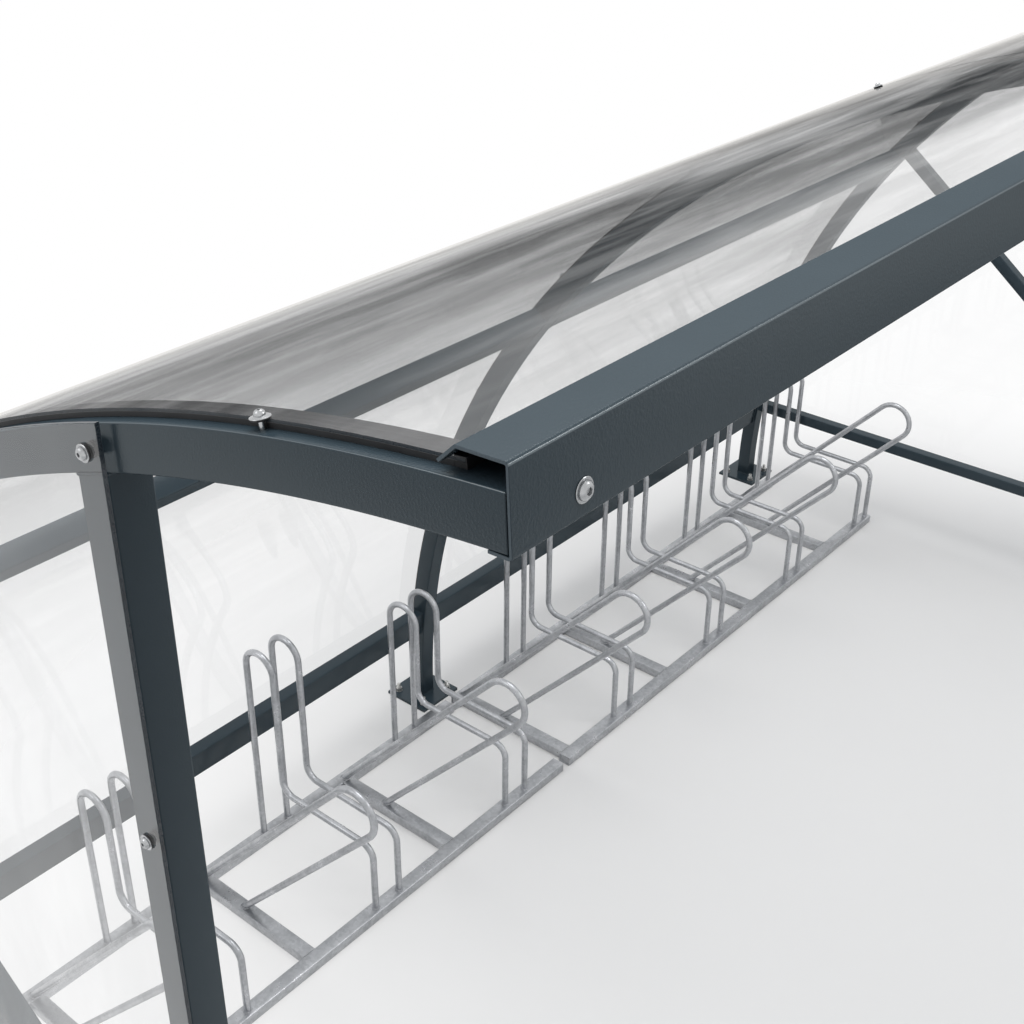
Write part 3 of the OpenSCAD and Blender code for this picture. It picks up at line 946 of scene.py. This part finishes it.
@dataclass
class GableParts:
    """Posts, level rails and braces of both gables."""

    frames: BentFrames
    size: float = 0.050
    corner: float = 0.0028
    head_weld_drop: float = 0.0006
    rail: float = 0.040
    rail_corner: float = 0.0035
    rail_top: float = 0.353
    brace_foot: float = 0.671
    brace_slope: float = 38.3

    @property
    def rail_middle(self) -> float:
        """Height of the level rail's centre line."""
        return self.rail_top - self.rail / 2

    def bend_height(self, back: Points) -> Points:
        """Returns the height of the frame's inner face at a distance behind the centre."""
        return self.frames.centre_height + np.sqrt(self.frames.inner ** 2 - np.square(back))

    def build_post(self, side: str, axes: Axes) -> None:
        """Builds a post, whose head is cut to the frame's curve and welded all round.

        Args:
            side: The gable's side.
            axes: Its side view's axes.
        """
        section = rounded_section(self.size, self.size, self.corner, 5)
        foot = self.frames.foot_thickness
        back, across = self.frames.post_back + section[:, 1], section[:, 0]
        shape = Shape()
        shape.loft([axes.at(back, foot, across), axes.at(back, foot + 1.0, across),
                    axes.at(back, self.bend_height(back) + OVERLAP, across)])
        path = densified(section)
        back, across = self.frames.post_back + path[:, 1], path[:, 0]
        shape.bead(axes.at(back, self.bend_height(back) - self.head_weld_drop, across), TUBE_WELD)
        shape.bead(axes.at(back, foot + FOOT_WELD_RISE, across))
        shape.build(f"gable_post_{side}", [Finish.STEEL], [f"front_post_{side}"])

    def build_rail(self, side: str, axes: Axes) -> None:
        """Builds the level rail from post to frame.

        Args:
            side: The gable's side.
            axes: Its side view's axes.
        """
        section = rounded_section(self.rail, self.rail, self.rail_corner)
        start = self.frames.post_back + self.size / 2
        height = self.rail_middle + section[:, 1]
        end = np.sqrt(self.frames.inner ** 2 - (height - self.frames.centre_height) ** 2)
        shape = Shape()
        shape.loft([axes.at(start - OVERLAP, height, section[:, 0]),
                    axes.at(end + OVERLAP, height, section[:, 0])])
        path = densified(section)
        back = start + WELD_RISE
        shape.bead(axes.at(back, self.rail_middle + path[:, 1], path[:, 0]), FINE_WELD)
        shape.build(f"level_rail_{side}", [Finish.STEEL], [f"side_rail_{side}"])

    def build_brace(self, side: str, axes: Axes) -> None:
        """Builds the sloping brace from post to frame.

        With foot p and direction d, an edge meets the frame of radius r after
        sqrt((p.d)^2 - p.p + r^2) - p.d.

        Args:
            side: The gable's side.
            axes: Its side view's axes.
        """
        section = rounded_section(self.rail, self.rail, self.rail_corner)
        start = self.frames.post_back + self.size / 2
        slope = math.radians(self.brace_slope)
        d = np.array([math.cos(slope), math.sin(slope)])
        foot = np.array([start, self.brace_foot]) + section[:, 1:] * [-d[1], d[0]]
        low = foot + d * ((start - OVERLAP - foot[:, :1]) / d[0])
        p = foot - [0.0, self.frames.centre_height]
        b = p @ d
        reach = np.sqrt(b ** 2 - np.sum(p ** 2, 1) + (self.frames.inner + OVERLAP) ** 2) - b
        shape, ends = Shape(), (low, foot + d * reach[:, None])
        shape.loft([axes.lay(end, section[:, 0]) for end in ends])
        for end in ends:
            ring = densified(np.column_stack([end, section[:, 0]]))
            shape.bead(axes.lay(ring, ring[:, 2]), FINE_WELD)
        shape.build(f"gable_brace_{side}", [Finish.STEEL], [f"side_brace_{side}"])

    def build(self) -> None:
        """Builds both gables."""
        for side, way in SIDES.items():
            axes = Axes.side(way * self.frames.bay)
            self.build_post(side, axes)
            self.build_rail(side, axes)
            self.build_brace(side, axes)


# ---------------------------------------------------------------- eave


@dataclass
class Eave:
    """The folded front profile with its brackets and bolts."""

    frames: BentFrames
    height: float = 0.077
    rise: float = 0.0235
    top_flange: float = 0.050
    bottom_flange: float = 0.0225
    lip_run: float = 0.017
    lip_seat: float = 0.0086
    sheet: float = 0.003
    bend: float = 0.0040
    ease: float = 0.0004
    # Faces round the fold that carry the painted highlight stripe.
    highlight_fold_faces: tuple[int, int] = (10, 11)
    gap: float = 0.0013
    reach: float = 0.060
    bracket_height: float = 0.040
    bracket_sheet: float = 0.005
    bracket_corner: float = 0.0008
    bolt_offset: float = 0.057
    bolt_drop: float = 0.0305
    leg_bolt: float = 0.036

    def lip_height(self, forward: float) -> float:
        """Gives the height over the frame's end at which the lip meets the roof sheet.

        With d the lean of the end's axes against the bend and R, r the radii of frame and
        seat, the height is sqrt(r^2 - (R sin d - forward)^2) - R cos d.

        Args:
            forward: How far in front of the frame's end.

        Returns:
            The height in the end's axes.
        """
        outer = self.frames.outer
        d = math.radians(self.frames.front_angle - self.frames.end_tilt)
        across = outer * math.sin(d) - forward
        return math.sqrt((outer + self.lip_seat) ** 2 - across ** 2) - outer * math.cos(d)

    def build_profile(self) -> None:
        """Builds the profile: a strip with its thickness, folded along rounded bends."""
        t = self.sheet
        face = self.gap + t / 2
        high, low = self.rise - t / 2, self.rise - self.height + t / 2
        fold = face - self.top_flange + t
        tip = fold - self.lip_run
        corners = [(low, face - self.bottom_flange + t / 2), (low, face), (high, face),
                   (high, fold), (self.lip_height(tip) + t / 2, tip)]
        points, tangents = bent_line(corners, [self.bend - t / 2] * 3, 7)
        step = normals_of(tangents)
        full, end = (np.concatenate([points + step * half, (points - step * half)[::-1]])
                     for half in (t / 2, t / 2 - self.ease))
        x = self.frames.half_length
        rows = ((end, -x), (full, self.ease - x), (full, 0.0), (full, x - self.ease), (end, x))
        axes, shape = self.frames.front_end(0.0), Shape()
        # The faces round the fold take the painted highlight finish: a lighter, glossier stripe
        # that paints the bright line along the fold.
        shape.loft([axes.lay(flat, place) for flat, place in rows], cap=2,
                   stripes=self.highlight_fold_faces, ribbon=True)
        shape.build("folded_eave", [Finish.STEEL, Finish.PAINTED_HIGHLIGHT, Finish.CUT_EDGE], ["front_eave"],
                    30)

    def bracket_spots(self) -> list[tuple[Axes, int]]:
        """Returns the axes at the frame and the side of each bracket."""
        spots = ((-self.frames.bay, 1), (0.0, -1), (0.0, 1), (self.frames.bay, -1))
        return [(self.frames.front_end(x), way) for x, way in spots]

    def build_brackets(self) -> None:
        """Builds the bent angle brackets that join the frames' ends to the profile."""
        t, half = self.bracket_sheet, self.frames.width / 2
        front = self.gap - t / 2
        line = bent_line([(self.gap - self.reach, half + t / 2), (front, half + t / 2),
                          (front, half + self.reach)], [t * 0.9], 6)
        section = rounded_section(self.bracket_height, t, self.bracket_corner, 2)
        shape = Shape()
        for axes, way in self.bracket_spots():
            middle = axes.at(-self.frames.depth / 2, 0.0)
            shape.bar(Axes(middle, axes.b, axes.c * way, axes.a), line, section)
        shape.build("eave_angle_brackets", [Finish.STEEL], ["eave_brackets"])

    def build_bolts(self) -> None:
        """Builds the bolts through the profile's face and through the brackets' other legs."""
        drop, side = -self.bolt_drop, self.frames.width / 2 + self.bracket_sheet
        bolts: list[Matrix] = []
        nuts: list[Matrix] = []
        for axes, way in self.bracket_spots():
            face = axes.at(drop, self.gap + self.sheet, way * self.bolt_offset)
            bolts.append(placing(face, axes.b, 12.0 + 31 * len(bolts)))
            leg = axes.at(-self.frames.depth / 2, -self.leg_bolt, way * side)
            bolts.append(placing(leg, way * axes.c, 5.0))
            rear = axes.at(drop, self.gap - self.bracket_sheet, way * self.bolt_offset)
            nuts.append(placing(rear, -axes.b))
        nut = turned([(0.0072, 0.0), (0.013, 0.0006), (0.013, 0.0058), (0.0060, 0.0064),
                      (0.0040, 0.0064)], 24, (1, 2))
        shape = Shape()
        shape.copies(FlangeBolt().solids(), bolts)
        shape.copies([(nut, 0)], nuts)
        shape.build("eave_bolts", [Finish.STAINLESS])

    def build(self) -> None:
        """Builds the whole eave."""
        self.build_profile()
        self.build_brackets()
        self.build_bolts()


# ---------------------------------------------------------------- bay tubes


@dataclass
class BayTubes:
    """Purlins and lower rails from frame to frame."""

    frames: BentFrames
    purlin: float = 0.050
    purlin_angle: float = 52.5
    rail_height: float = 0.080
    rail_depth: float = 0.040
    rail_angle: float = 83.8
    corner: float = 0.0040
    into_frame: float = 0.0004

    def tube(self, angle: float, depth: float, height: float, ends: Pair) -> Shape:
        """Makes one tube with its welds.

        Args:
            angle: Degrees from straight up.
            depth: Size outwards.
            height: Size along the bend.
            ends: Left and right end along the shelter.

        Returns:
            The tube.
        """
        axes, shape = self.frames.bend(0.0, angle), Shape()
        middle = self.frames.outer - depth / 2
        section = rounded_section(depth, height, self.corner, 5) + [middle, 0.0]
        x1, x2 = ends
        shape.loft([axes.lay(section, x) for x in (x1 - self.into_frame, x2 + self.into_frame)])
        for x in (x1 + WELD_RISE, x2 - WELD_RISE):
            shape.bead(axes.lay(densified(section), x), TUBE_WELD)
        return shape

    def build(self) -> None:
        """Builds the tubes of both bays."""
        half = self.frames.width / 2
        for side, way in SIDES.items():
            ends = sorted((way * half, way * (self.frames.bay - half)))
            purlin = self.tube(self.purlin_angle, self.purlin, self.purlin, ends)
            purlin.build(f"roof_purlin_{side}", [Finish.STEEL], [f"purlin_{side}"])
            rail = self.tube(self.rail_angle, self.rail_depth, self.rail_height, ends)
            rail.build(f"rear_rail_{side}", [Finish.STEEL], [f"lower_rail_{side}"])


# ---------------------------------------------------------------- sheets


@dataclass
class Roof:
    """Clear roof sheets, gaskets, front seals and roof screws."""

    frames: BentFrames
    play: float = 0.0002
    gasket: float = 0.005
    sheet: float = 0.003
    setback: float = 0.048
    seal_wall: float = 0.001
    seal_depth: float = 0.012
    rear_angle: float = 85.2
    outer_x: float = 2.010
    joint: float = 0.006
    gasket_width: float = 0.030
    middle_gasket: float = 0.040
    rib: float = 0.0007
    rib_count: int = 4
    gasket_start: float = 0.006
    seal_ease: float = 0.0004
    seal_ease_angle: float = 0.008
    screw_step: float = 12.215
    first_screw: float = 12.35
    screw_count: int = 6
    screw_inset: float = 0.0115

    @property
    def gasket_in(self) -> float:
        """Inner radius of gasket and seal."""
        return self.frames.outer + self.play

    @property
    def gasket_out(self) -> float:
        """Outer radius of the gasket."""
        return self.gasket_in + self.gasket

    @property
    def sheet_in(self) -> float:
        """Inner radius of the sheet."""
        return self.gasket_out + self.play

    @property
    def sheet_out(self) -> float:
        """Outer radius of the sheet."""
        return self.sheet_in + self.sheet

    @property
    def spans(self) -> dict[str, Pair]:
        """Both ends of each sheet along the shelter."""
        return {"left": (-self.outer_x, -self.joint / 2), "right": (self.joint / 2, self.outer_x)}

    def angle_back(self, length: float) -> float:
        """Returns the angle in degrees of a point that lies a length behind the frame's end."""
        return self.frames.front_angle + math.degrees(length / self.frames.outer)

    @property
    def seal_angles(self) -> Pair:
        """Angles of the seal's front and rear."""
        start = self.setback - self.seal_wall - self.play
        return self.angle_back(start), self.angle_back(start + self.seal_depth)

    def swept(self, radii: Sequence[float], x: Sequence[float], angles: Points) -> Points:
        """Returns rings of a section, given as radii and places along, carried round the bend."""
        flat = self.frames.arc(np.asarray(radii), np.radians(angles)[:, None])
        return Axes.side(0.0).lay(flat, np.asarray(x))

    def build_sheets(self) -> None:
        """Builds both sheets, with sawn edges of their own finish."""
        angles = np.linspace(self.angle_back(self.setback), self.rear_angle, 160)
        radii = (self.sheet_in, self.sheet_out, self.sheet_out, self.sheet_in)
        for side, (x1, x2) in self.spans.items():
            shape = Shape()
            shape.loft(self.swept(radii, (x1, x1, x2, x2), angles), cap=1, stripes=(0, 2))
            shape.build(f"clear_roof_{side}", [Finish.ROOF, Finish.CLEAR_EDGE],
                        [f"roof_sheet_{side}"], 40)

    def build_gaskets(self) -> None:
        """Builds the ribbed rubber strips between frames and sheets."""
        edge = self.outer_x - self.gasket_width
        spans = {"left": (-self.outer_x, -edge),
                 "middle": (-self.middle_gasket / 2, self.middle_gasket / 2),
                 "right": (edge, self.outer_x)}
        u = np.linspace(0, 1, 3 * self.rib_count + 1)
        groove = (0.5 + 0.5 * np.cos(u * math.tau * self.rib_count)) * (u > 0) * (u < 1)
        radii = [*(self.gasket_out - self.rib * groove), self.gasket_in, self.gasket_in]
        angles = np.linspace(self.seal_angles[1] + self.gasket_start, self.rear_angle, 150)
        for side, (x1, x2) in spans.items():
            shape = Shape()
            shape.loft(self.swept(radii, [*(x1 + u * (x2 - x1)), x2, x1], angles))
            shape.build(f"roof_gasket_{side}", [Finish.RUBBER], [f"gasket_{side}"], 40)

    def build_seals(self) -> None:
        """Builds the rubber channels over the sheets' front edges."""
        bottom, top = self.gasket_in, self.sheet_out + self.play + self.seal_wall
        low, high = self.sheet_in - self.play, self.sheet_out + self.play
        front, (s, e) = self.angle_back(self.setback - self.play), self.seal_angles
        r, t = np.array([(bottom, s), (bottom, e), (low, e), (low, front), (high, front),
                         (high, e), (top, e), (top, s + self.seal_ease_angle),
                         (top - self.seal_ease, s)]).T
        flat = self.frames.arc(r, np.radians(t))
        for side, span in self.spans.items():
            shape = Shape()
            shape.loft([Axes.side(0.0).lay(flat, x) for x in span])
            shape.build(f"edge_seal_{side}", [Finish.RUBBER], [f"front_seal_{side}"], 30)

    def build_screws(self) -> None:
        """Builds the rows of roof screws over the three frames."""
        shape = Shape()
        places: list[Matrix] = []
        side = self.frames.half_length - self.screw_inset
        for x in (-side, 0.0, side):
            for k in range(self.screw_count):
                axes = self.frames.bend(x, self.first_screw + k * self.screw_step)
                places.append(placing(axes.at(self.sheet_out, 0.0), axes.a, 23.0 * len(places)))
        shape.copies(RoofScrew().solids(), places)
        shape.build("roof_screws", [Finish.STAINLESS, Finish.RUBBER])

    def build(self) -> None:
        """Builds the whole roof."""
        self.build_sheets()
        self.build_gaskets()
        self.build_seals()
        self.build_screws()


@dataclass
class GablePanels:
    """Clear gable panels on spacers, with their screws."""

    frames: BentFrames
    gable: GableParts
    sheet: float = 0.005
    standoff: float = 0.006
    overhang: float = 0.010
    rise: float = 0.003
    ease: float = 0.0005
    pitch: float = 0.470
    last_fixing: float = 83.8
    fixing_inset: float = 0.023
    spacer: float = 0.008

    @property
    def front(self) -> float:
        """Distance of the panel's front edge behind the bend's centre."""
        return self.frames.post_back - self.gable.size / 2 - self.overhang

    def outline(self, ease: float = 0.0) -> Points:
        """Computes the panel's outline: straight front and bottom, then the frame's arc.

        Args:
            ease: How far to stay inside it.

        Returns:
            Points as (back, height).
        """
        r = self.frames.outer + self.rise - ease
        front, bottom = self.front + ease, self.gable.rail_top - self.gable.rail + ease
        end = math.acos((bottom - self.frames.centre_height) / r)
        t = np.linspace(math.asin(front / r), end, 90)
        return np.concatenate([[[front, bottom]], self.frames.arc(r, t)])

    def fixings(self) -> list[tuple[float, float, bool]]:
        """Sets out the fixings a pitch apart: along the frame, down the post, along the rail.

        Returns:
            Each fixing's place as back, height and whether it sits on the level rail.
        """
        r, low = self.frames.middle, self.gable.rail_middle
        row = self.front + self.fixing_inset
        first = math.asin(row / r)
        angles = np.arange(first, math.radians(self.last_fixing), self.pitch / r)
        spots = [(*spot, False) for spot in self.frames.arc(r, angles)]
        height = spots[0][1] - self.pitch
        while height > low + self.pitch / 2:
            spots.append((row, height, False))
            height -= self.pitch
        spots.append((row, low, False))
        end = self.frames.inner - self.gable.rail
        return spots + [(back, low, True) for back in np.arange(row + self.pitch, end, self.pitch)]

    def spacer_solid(self, length: float) -> Points:
        """Returns a waisted round spacer of a length, standing on height 0."""
        r, waist = self.spacer, self.spacer * 0.72
        return turned([(r * 0.93, 0.0), (r, 0.0006), (r, 0.0022), (waist, 0.0024),
                       (waist, length - 0.0018), (r, length - 0.0016), (r * 0.93, length)])

    def build(self) -> None:
        """Builds panels, spacers and screws of both gables."""
        near = self.frames.half_length + self.standoff
        far = near + self.sheet
        full, small = self.outline(), self.outline(self.ease)
        axes, screws = Axes.side(0.0), []
        rows = ((small, near), (full, near + self.ease), (full, far - self.ease), (small, far))
        for side, way in SIDES.items():
            shape = Shape()
            shape.loft([axes.lay(flat, way * x) for flat, x in rows], 1, 0)
            shape.build(f"clear_gable_{side}", [Finish.PANEL, Finish.CLEAR_EDGE],
                        [f"side_panel_{side}"], 40)
            shape = Shape()
            for back, height, on_rail in self.fixings():
                foot = self.frames.bay + (self.gable.rail if on_rail else self.frames.width) / 2
                place = placing(axes.at(back, height, way * foot), way * axes.c)
                shape.copies([(self.spacer_solid(near - foot), 0)], [place])
                screws.append(placing(axes.at(back, height, way * far), way * axes.c,
                                      29.0 * len(screws)))
            shape.build(f"panel_standoffs_{side}", [Finish.RUBBER], [f"panel_spacers_{side}"])
        shape = Shape()
        shape.copies(PanelScrew().solids(), screws)
        shape.build("panel_screws", [Finish.STAINLESS, Finish.RUBBER])


# ---------------------------------------------------------------- racks


@dataclass
class Racks:
    """Two galvanised racks: rails, cross bars, wheel hoops and leaning loops."""

    rear: float = 2.140
    front: float = 1.696
    rail_width: float = 0.040
    rail_height: float = 0.030
    rail_corner: float = 0.0035
    cap_inset: float = 0.005
    cap_sunk: float = 0.003
    inner_x: float = 0.015
    outer_x: float = 1.967
    end: float = 0.055
    shift: float = 0.045
    into_rail: float = 0.0004
    bead_inset: float = 0.003
    bead_drop: float = 0.006
    tube: float = 0.009
    foot_bead: float = 0.0020
    foot_gap: float = 0.0007
    slot: float = 0.070
    turn_depth: float = 0.104
    high: float = 0.680
    low: float = 0.560
    run_height: float = 0.237
    run_bend: float = 0.040
    loop_height: float = 0.689
    loop_slope: float = 47.5
    loop_width: float = 0.126
    loop_inset: float = 0.006

    def place(self, k: float) -> float:
        """Returns the middle of wheel place k, counted from the left."""
        return (k - 3.5) * (self.outer_x - self.end - self.shift) / 3.5 + self.shift

    def rail(self, back: float, way: int) -> Shape:
        """Makes one rail with slightly sunk end caps.

        Args:
            back: Distance behind the bend's centre.
            way: -1 for the left rack, 1 for the right.

        Returns:
            The rail.
        """
        x1, x2 = sorted((way * self.inner_x, way * self.outer_x))
        middle = [back, self.rail_height / 2]
        full = rounded_section(self.rail_width, self.rail_height, self.rail_corner) + middle
        cap = rounded_section(self.rail_width - self.cap_inset,
                              self.rail_height - self.cap_inset, 0.0015) + middle
        shape = Shape()
        shape.loft([Axes.side(0.0).lay(flat, x) for flat, x in (
            (cap, x1 + self.cap_sunk), (cap, x1), (full, x1), (full, x2), (cap, x2),
            (cap, x2 - self.cap_sunk))])
        return shape

    def cross_bar(self, shape: Shape, x: float) -> None:
        """Adds one bar between the rails, with a bead over each end.

        Args:
            shape: The mesh to add to.
            x: Place along the shelter.
        """
        axes, half, top = Axes.side(x), self.rail_width / 2, self.rail_height
        section = rounded_section(self.rail_width, top, self.rail_corner)
        ends = (self.front + half - self.into_rail, self.rear - half + self.into_rail)
        line = np.array([(back, top / 2) for back in ends]), np.array([(1.0, 0.0)] * 2)
        shape.loft(sweep(axes, line, section))
        reach, side, low = half - self.bead_inset, half - OVERLAP, top - self.bead_drop
        over = [(t, top) for t in np.linspace(-reach, reach, 14)]
        path = np.array([*over, (side, low), (-side, low)])
        for back in (self.front + half, self.rear - half):
            shape.bead(axes.at(back, path[:, 1], path[:, 0]), TUBE_WELD)

    def foot_weld(self, shape: Shape, axes: Axes, back: float, stretch: float = 1.0) -> None:
        """Adds a weld bead round a tube's foot, which may be longer than wide, on the rail."""
        ring = round_section(self.tube + self.foot_gap, 20)
        shape.bead(axes.at(back + ring[:, 0] * stretch, self.rail_height + WELD_RISE, ring[:, 1]),
                   self.foot_bead)

    def hoop(self, shape: Shape, x: float, height: float) -> None:
        """Adds one hoop tube: up at the rear, over, down, level to the front and down.

        Args:
            shape: The mesh to add to.
            x: Place along the shelter.
            height: Its full height.
        """
        top, tall, rail = height - self.tube, self.rear - self.turn_depth, self.rail_height
        r = self.turn_depth / 2 - 1e-6
        corners = [(self.rear, rail), (self.rear, top), (tall, top), (tall, self.run_height),
                   (self.front, self.run_height), (self.front, rail)]
        axes = Axes.side(x)
        line = bent_line(corners, [r, r, self.run_bend, self.run_bend], 10)
        shape.bar(axes, line, round_section(self.tube))
        self.foot_weld(shape, axes, self.rear)
        self.foot_weld(shape, axes, self.front)

    def loop(self, shape: Shape, x: float) -> None:
        """Adds one leaning loop: a hairpin whose feet are cut level on rail and cross bar.

        Args:
            shape: The mesh to add to.
            x: Place along the shelter.
        """
        slope, half = math.radians(self.loop_slope), self.loop_width / 2
        along = np.array([-math.cos(slope), math.sin(slope)])
        across = np.array([-math.sin(slope), -math.cos(slope)])
        foot = np.array([self.rear - self.loop_inset, self.rail_height])
        run = (self.loop_height - self.tube - half - self.rail_height
               + half * math.cos(slope)) / math.sin(slope)
        t = np.linspace(0, math.pi, 25)[:, None]
        arc = foot + along * run + across * half + half * (np.sin(t) * along - np.cos(t) * across)
        tangents = np.sin(t) * across + np.cos(t) * along
        axes = Axes.side(x)
        rings = sweep(axes, (arc, tangents), round_section(self.tube))
        ends = [ring - (ring[:, 2:] - self.rail_height) / along[1] * [0.0, *along]
                for ring in (rings[0], rings[-1])]
        shape.loft([ends[0], *rings, ends[1]])
        for end in ends:
            self.foot_weld(shape, axes, end[:, 1].mean() + ORIGIN_BACK, 1 / math.sin(slope))

    def build(self) -> None:
        """Builds both racks."""
        loops = {"left": (0.5, 1.5, 2.5), "right": (3.5, 4.5, 5.5, 6.5)}
        step = self.slot / 2 + self.tube
        for side, way in SIDES.items():
            for name, back in (("front", self.front), ("rear", self.rear)):
                self.rail(back, way).build(f"{name}_ground_rail_{side}", [Finish.ZINC],
                                           [f"rack_{name}_rail_{side}"])
            bars, leaning = Shape(), Shape()
            for k in loops[side]:
                self.cross_bar(bars, self.place(k))
                self.loop(leaning, self.place(k))
            bars.build(f"cross_bars_{side}", [Finish.ZINC], [f"rack_cross_bars_{side}"])
            first = 0 if way < 0 else 4
            for name, start, height in (("high", first, self.high), ("low", first + 1, self.low)):
                hoops = Shape()
                for k in (start, start + 2):
                    for x in (self.place(k) - step, self.place(k) + step):
                        self.hoop(hoops, x, height)
                hoops.build(f"{name}_wheel_hoops_{side}", [Finish.ZINC], [f"{name}_hoops_{side}"])
            leaning.build(f"locking_loops_{side}", [Finish.ZINC], [f"leaning_loops_{side}"])


# ---------------------------------------------------------------- studio


@dataclass
class Studio:
    """Pale floor, white backdrop, soft lights and the camera."""

    floor_size: float = 120.0
    floor_color: Triple = (0.712, 0.696, 0.678)
    floor_shift: Triple = (-0.595, 0.1, 0.0)
    floor_scale: Triple = (0.85, 1.0, 1.0)
    fade: Pair = (0.8, 2.4)
    far: Pair = (3.6, 9.0)
    low_light: Triple = (0.10, 0.10, 0.10)
    high_light: Triple = (0.46, 0.51, 0.57)
    location: Triple = (-2.655, -1.58513, 2.7909)
    right: Triple = (0.6408, -0.7677, 0.0075)
    up: Triple = (0.3774, 0.3234, 0.8678)
    forward: Triple = (0.6686, 0.5532, -0.4969)
    lens: float = 49.08

    def build_floor(self) -> None:
        """Builds the staged floor, pale near the shelter and white far from it."""
        material = bpy.data.materials.new("studio_floor")
        s = NodeSheet(material)
        tone = s.span(s.noise(1.3, 3.0), 0.985, 1.0)
        color = s.node("VectorMath", {0: self.floor_color, 1: tone}, operation="MULTIPLY")
        matt = s.node("BsdfPrincipled", {"Base Color": color, "Roughness": 0.75,
                                         "Specular IOR Level": 0.3})
        glow = s.node("Emission", {"Color": (1.0, 1.0, 1.0), "Strength": 1.0})
        about = s.length(s.stretch(self.floor_scale, self.floor_shift))
        near = s.calc("MULTIPLY", s.span(about, 0.0, 1.0, *self.fade, True),
                      s.span(s.axis(1), 0.0, 1.0, -1.2, 0.2))
        away = s.calc("MAXIMUM", near, s.span(s.length(s.spot), 0.0, 1.0, *self.far, True))
        s.done(s.blend(s.calc("MULTIPLY", away, s.seen()), matt, glow))
        mesh = bpy.data.meshes.new("studio_floor")
        w = self.floor_size / 2
        mesh.from_pydata([(-w, -w, 0), (w, -w, 0), (w, w, 0), (-w, w, 0)], [], [(0, 1, 2, 3)])
        mesh.materials.append(material)
        floor = bpy.data.objects.new("studio_floor", mesh)
        bpy.context.scene.collection.objects.link(floor)

    def build_world(self) -> None:
        """Builds the white surroundings and the softer light that they give."""
        world = bpy.data.worlds.new("studio")
        bpy.context.scene.world = world
        s = NodeSheet(world)
        height = s.node("SeparateXYZ", {0: s.spot.node.outputs["Generated"]}, "Z")
        sky = s.mix(s.span(height, 0.0, 1.0, 0.0, 1.0), self.low_light, self.high_light)
        light = s.node("Background", {0: sky, 1: 1.0})
        white = s.node("Background", {0: (1.0, 1.0, 1.0), 1: 1.0})
        s.done(s.blend(s.seen(), light, white))

    def lamp(self, name: str, place: Triple, target: Triple, size: float, power: float,
             mirrored: bool = True) -> None:
        """Adds a soft area lamp.

        Args:
            name: Its name.
            place: Where it hangs.
            target: Where it points.
            size: Side of the square.
            power: Watts.
            mirrored: Whether glossy surfaces show it.
        """
        data = bpy.data.lights.new(name, "AREA")
        data.shape, data.size, data.energy = "SQUARE", size, power
        lamp = bpy.data.objects.new(name, data)
        lamp.visible_glossy = mirrored
        bpy.context.scene.collection.objects.link(lamp)
        aim = (Vector(target) - Vector(place)).to_track_quat("-Z", "Y")
        lamp.matrix_world = Matrix.Translation(place) @ aim.to_matrix().to_4x4()

    def spare_sheets(self) -> None:
        """Keeps the mirrored lamps out of the clear sheets."""
        spared = bpy.data.collections.new("no_lamp_glints")
        for made in bpy.context.scene.objects:
            if made.name.startswith(("clear_roof", "clear_gable")):
                spared.objects.link(made)
        for entry in spared.collection_objects:
            entry.light_linking.link_state = "EXCLUDE"
        for lamp in bpy.context.scene.objects:
            if lamp.type == "LIGHT" and lamp.visible_glossy:
                lamp.light_linking.receiver_collection = spared

    def build_camera(self) -> None:
        """Builds the camera at the photograph's place and angle."""
        data = bpy.data.cameras.new("photo_camera")
        data.sensor_width, data.lens = 36.0, self.lens
        data.clip_start, data.clip_end = 0.05, 200.0
        camera = bpy.data.objects.new("photo_camera", data)
        bpy.context.scene.collection.objects.link(camera)
        turn = Matrix((self.right, self.up, scaled(self.forward, -1.0))).transposed()
        camera.matrix_world = Matrix.Translation(self.location) @ turn.to_4x4()
        bpy.context.scene.camera = camera

    def build(self) -> None:
        """Builds the whole studio."""
        bpy.context.scene.view_settings.view_transform = "Standard"
        self.build_floor()
        self.build_world()
        self.lamp("overhead", (-0.6, -0.4, 7.0), (0.0, 0.0, 0.0), 8.0, 370.0, False)
        self.lamp("top_small", (0.5, 0.5, 6.5), (0.0, 0.3, 0.0), 2.5, 80.0)
        self.lamp("front_high", (2.4, -4.4, 5.4), (-1.0, -0.8, 1.8), 1.6, 45.0)
        self.lamp("rear_high", (-6.5, 3.2, 7.4), (-1.8, -0.4, 2.0), 4.6, 100.0)
        self.build_camera()


def main() -> None:
    logging.basicConfig(level=logging.INFO, format="%(message)s")
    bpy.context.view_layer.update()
    studio, frames = Studio(), BentFrames()
    gable = GableParts(frames)
    for part in (studio, frames, gable, Eave(frames), BayTubes(frames), Roof(frames),
                 GablePanels(frames, gable), Racks()):
        LOG.info("building %s", type(part).__name__)
        part.build()
    studio.spare_sheets()
    bpy.context.view_layer.update()


if __name__ == "__main__":
    main()
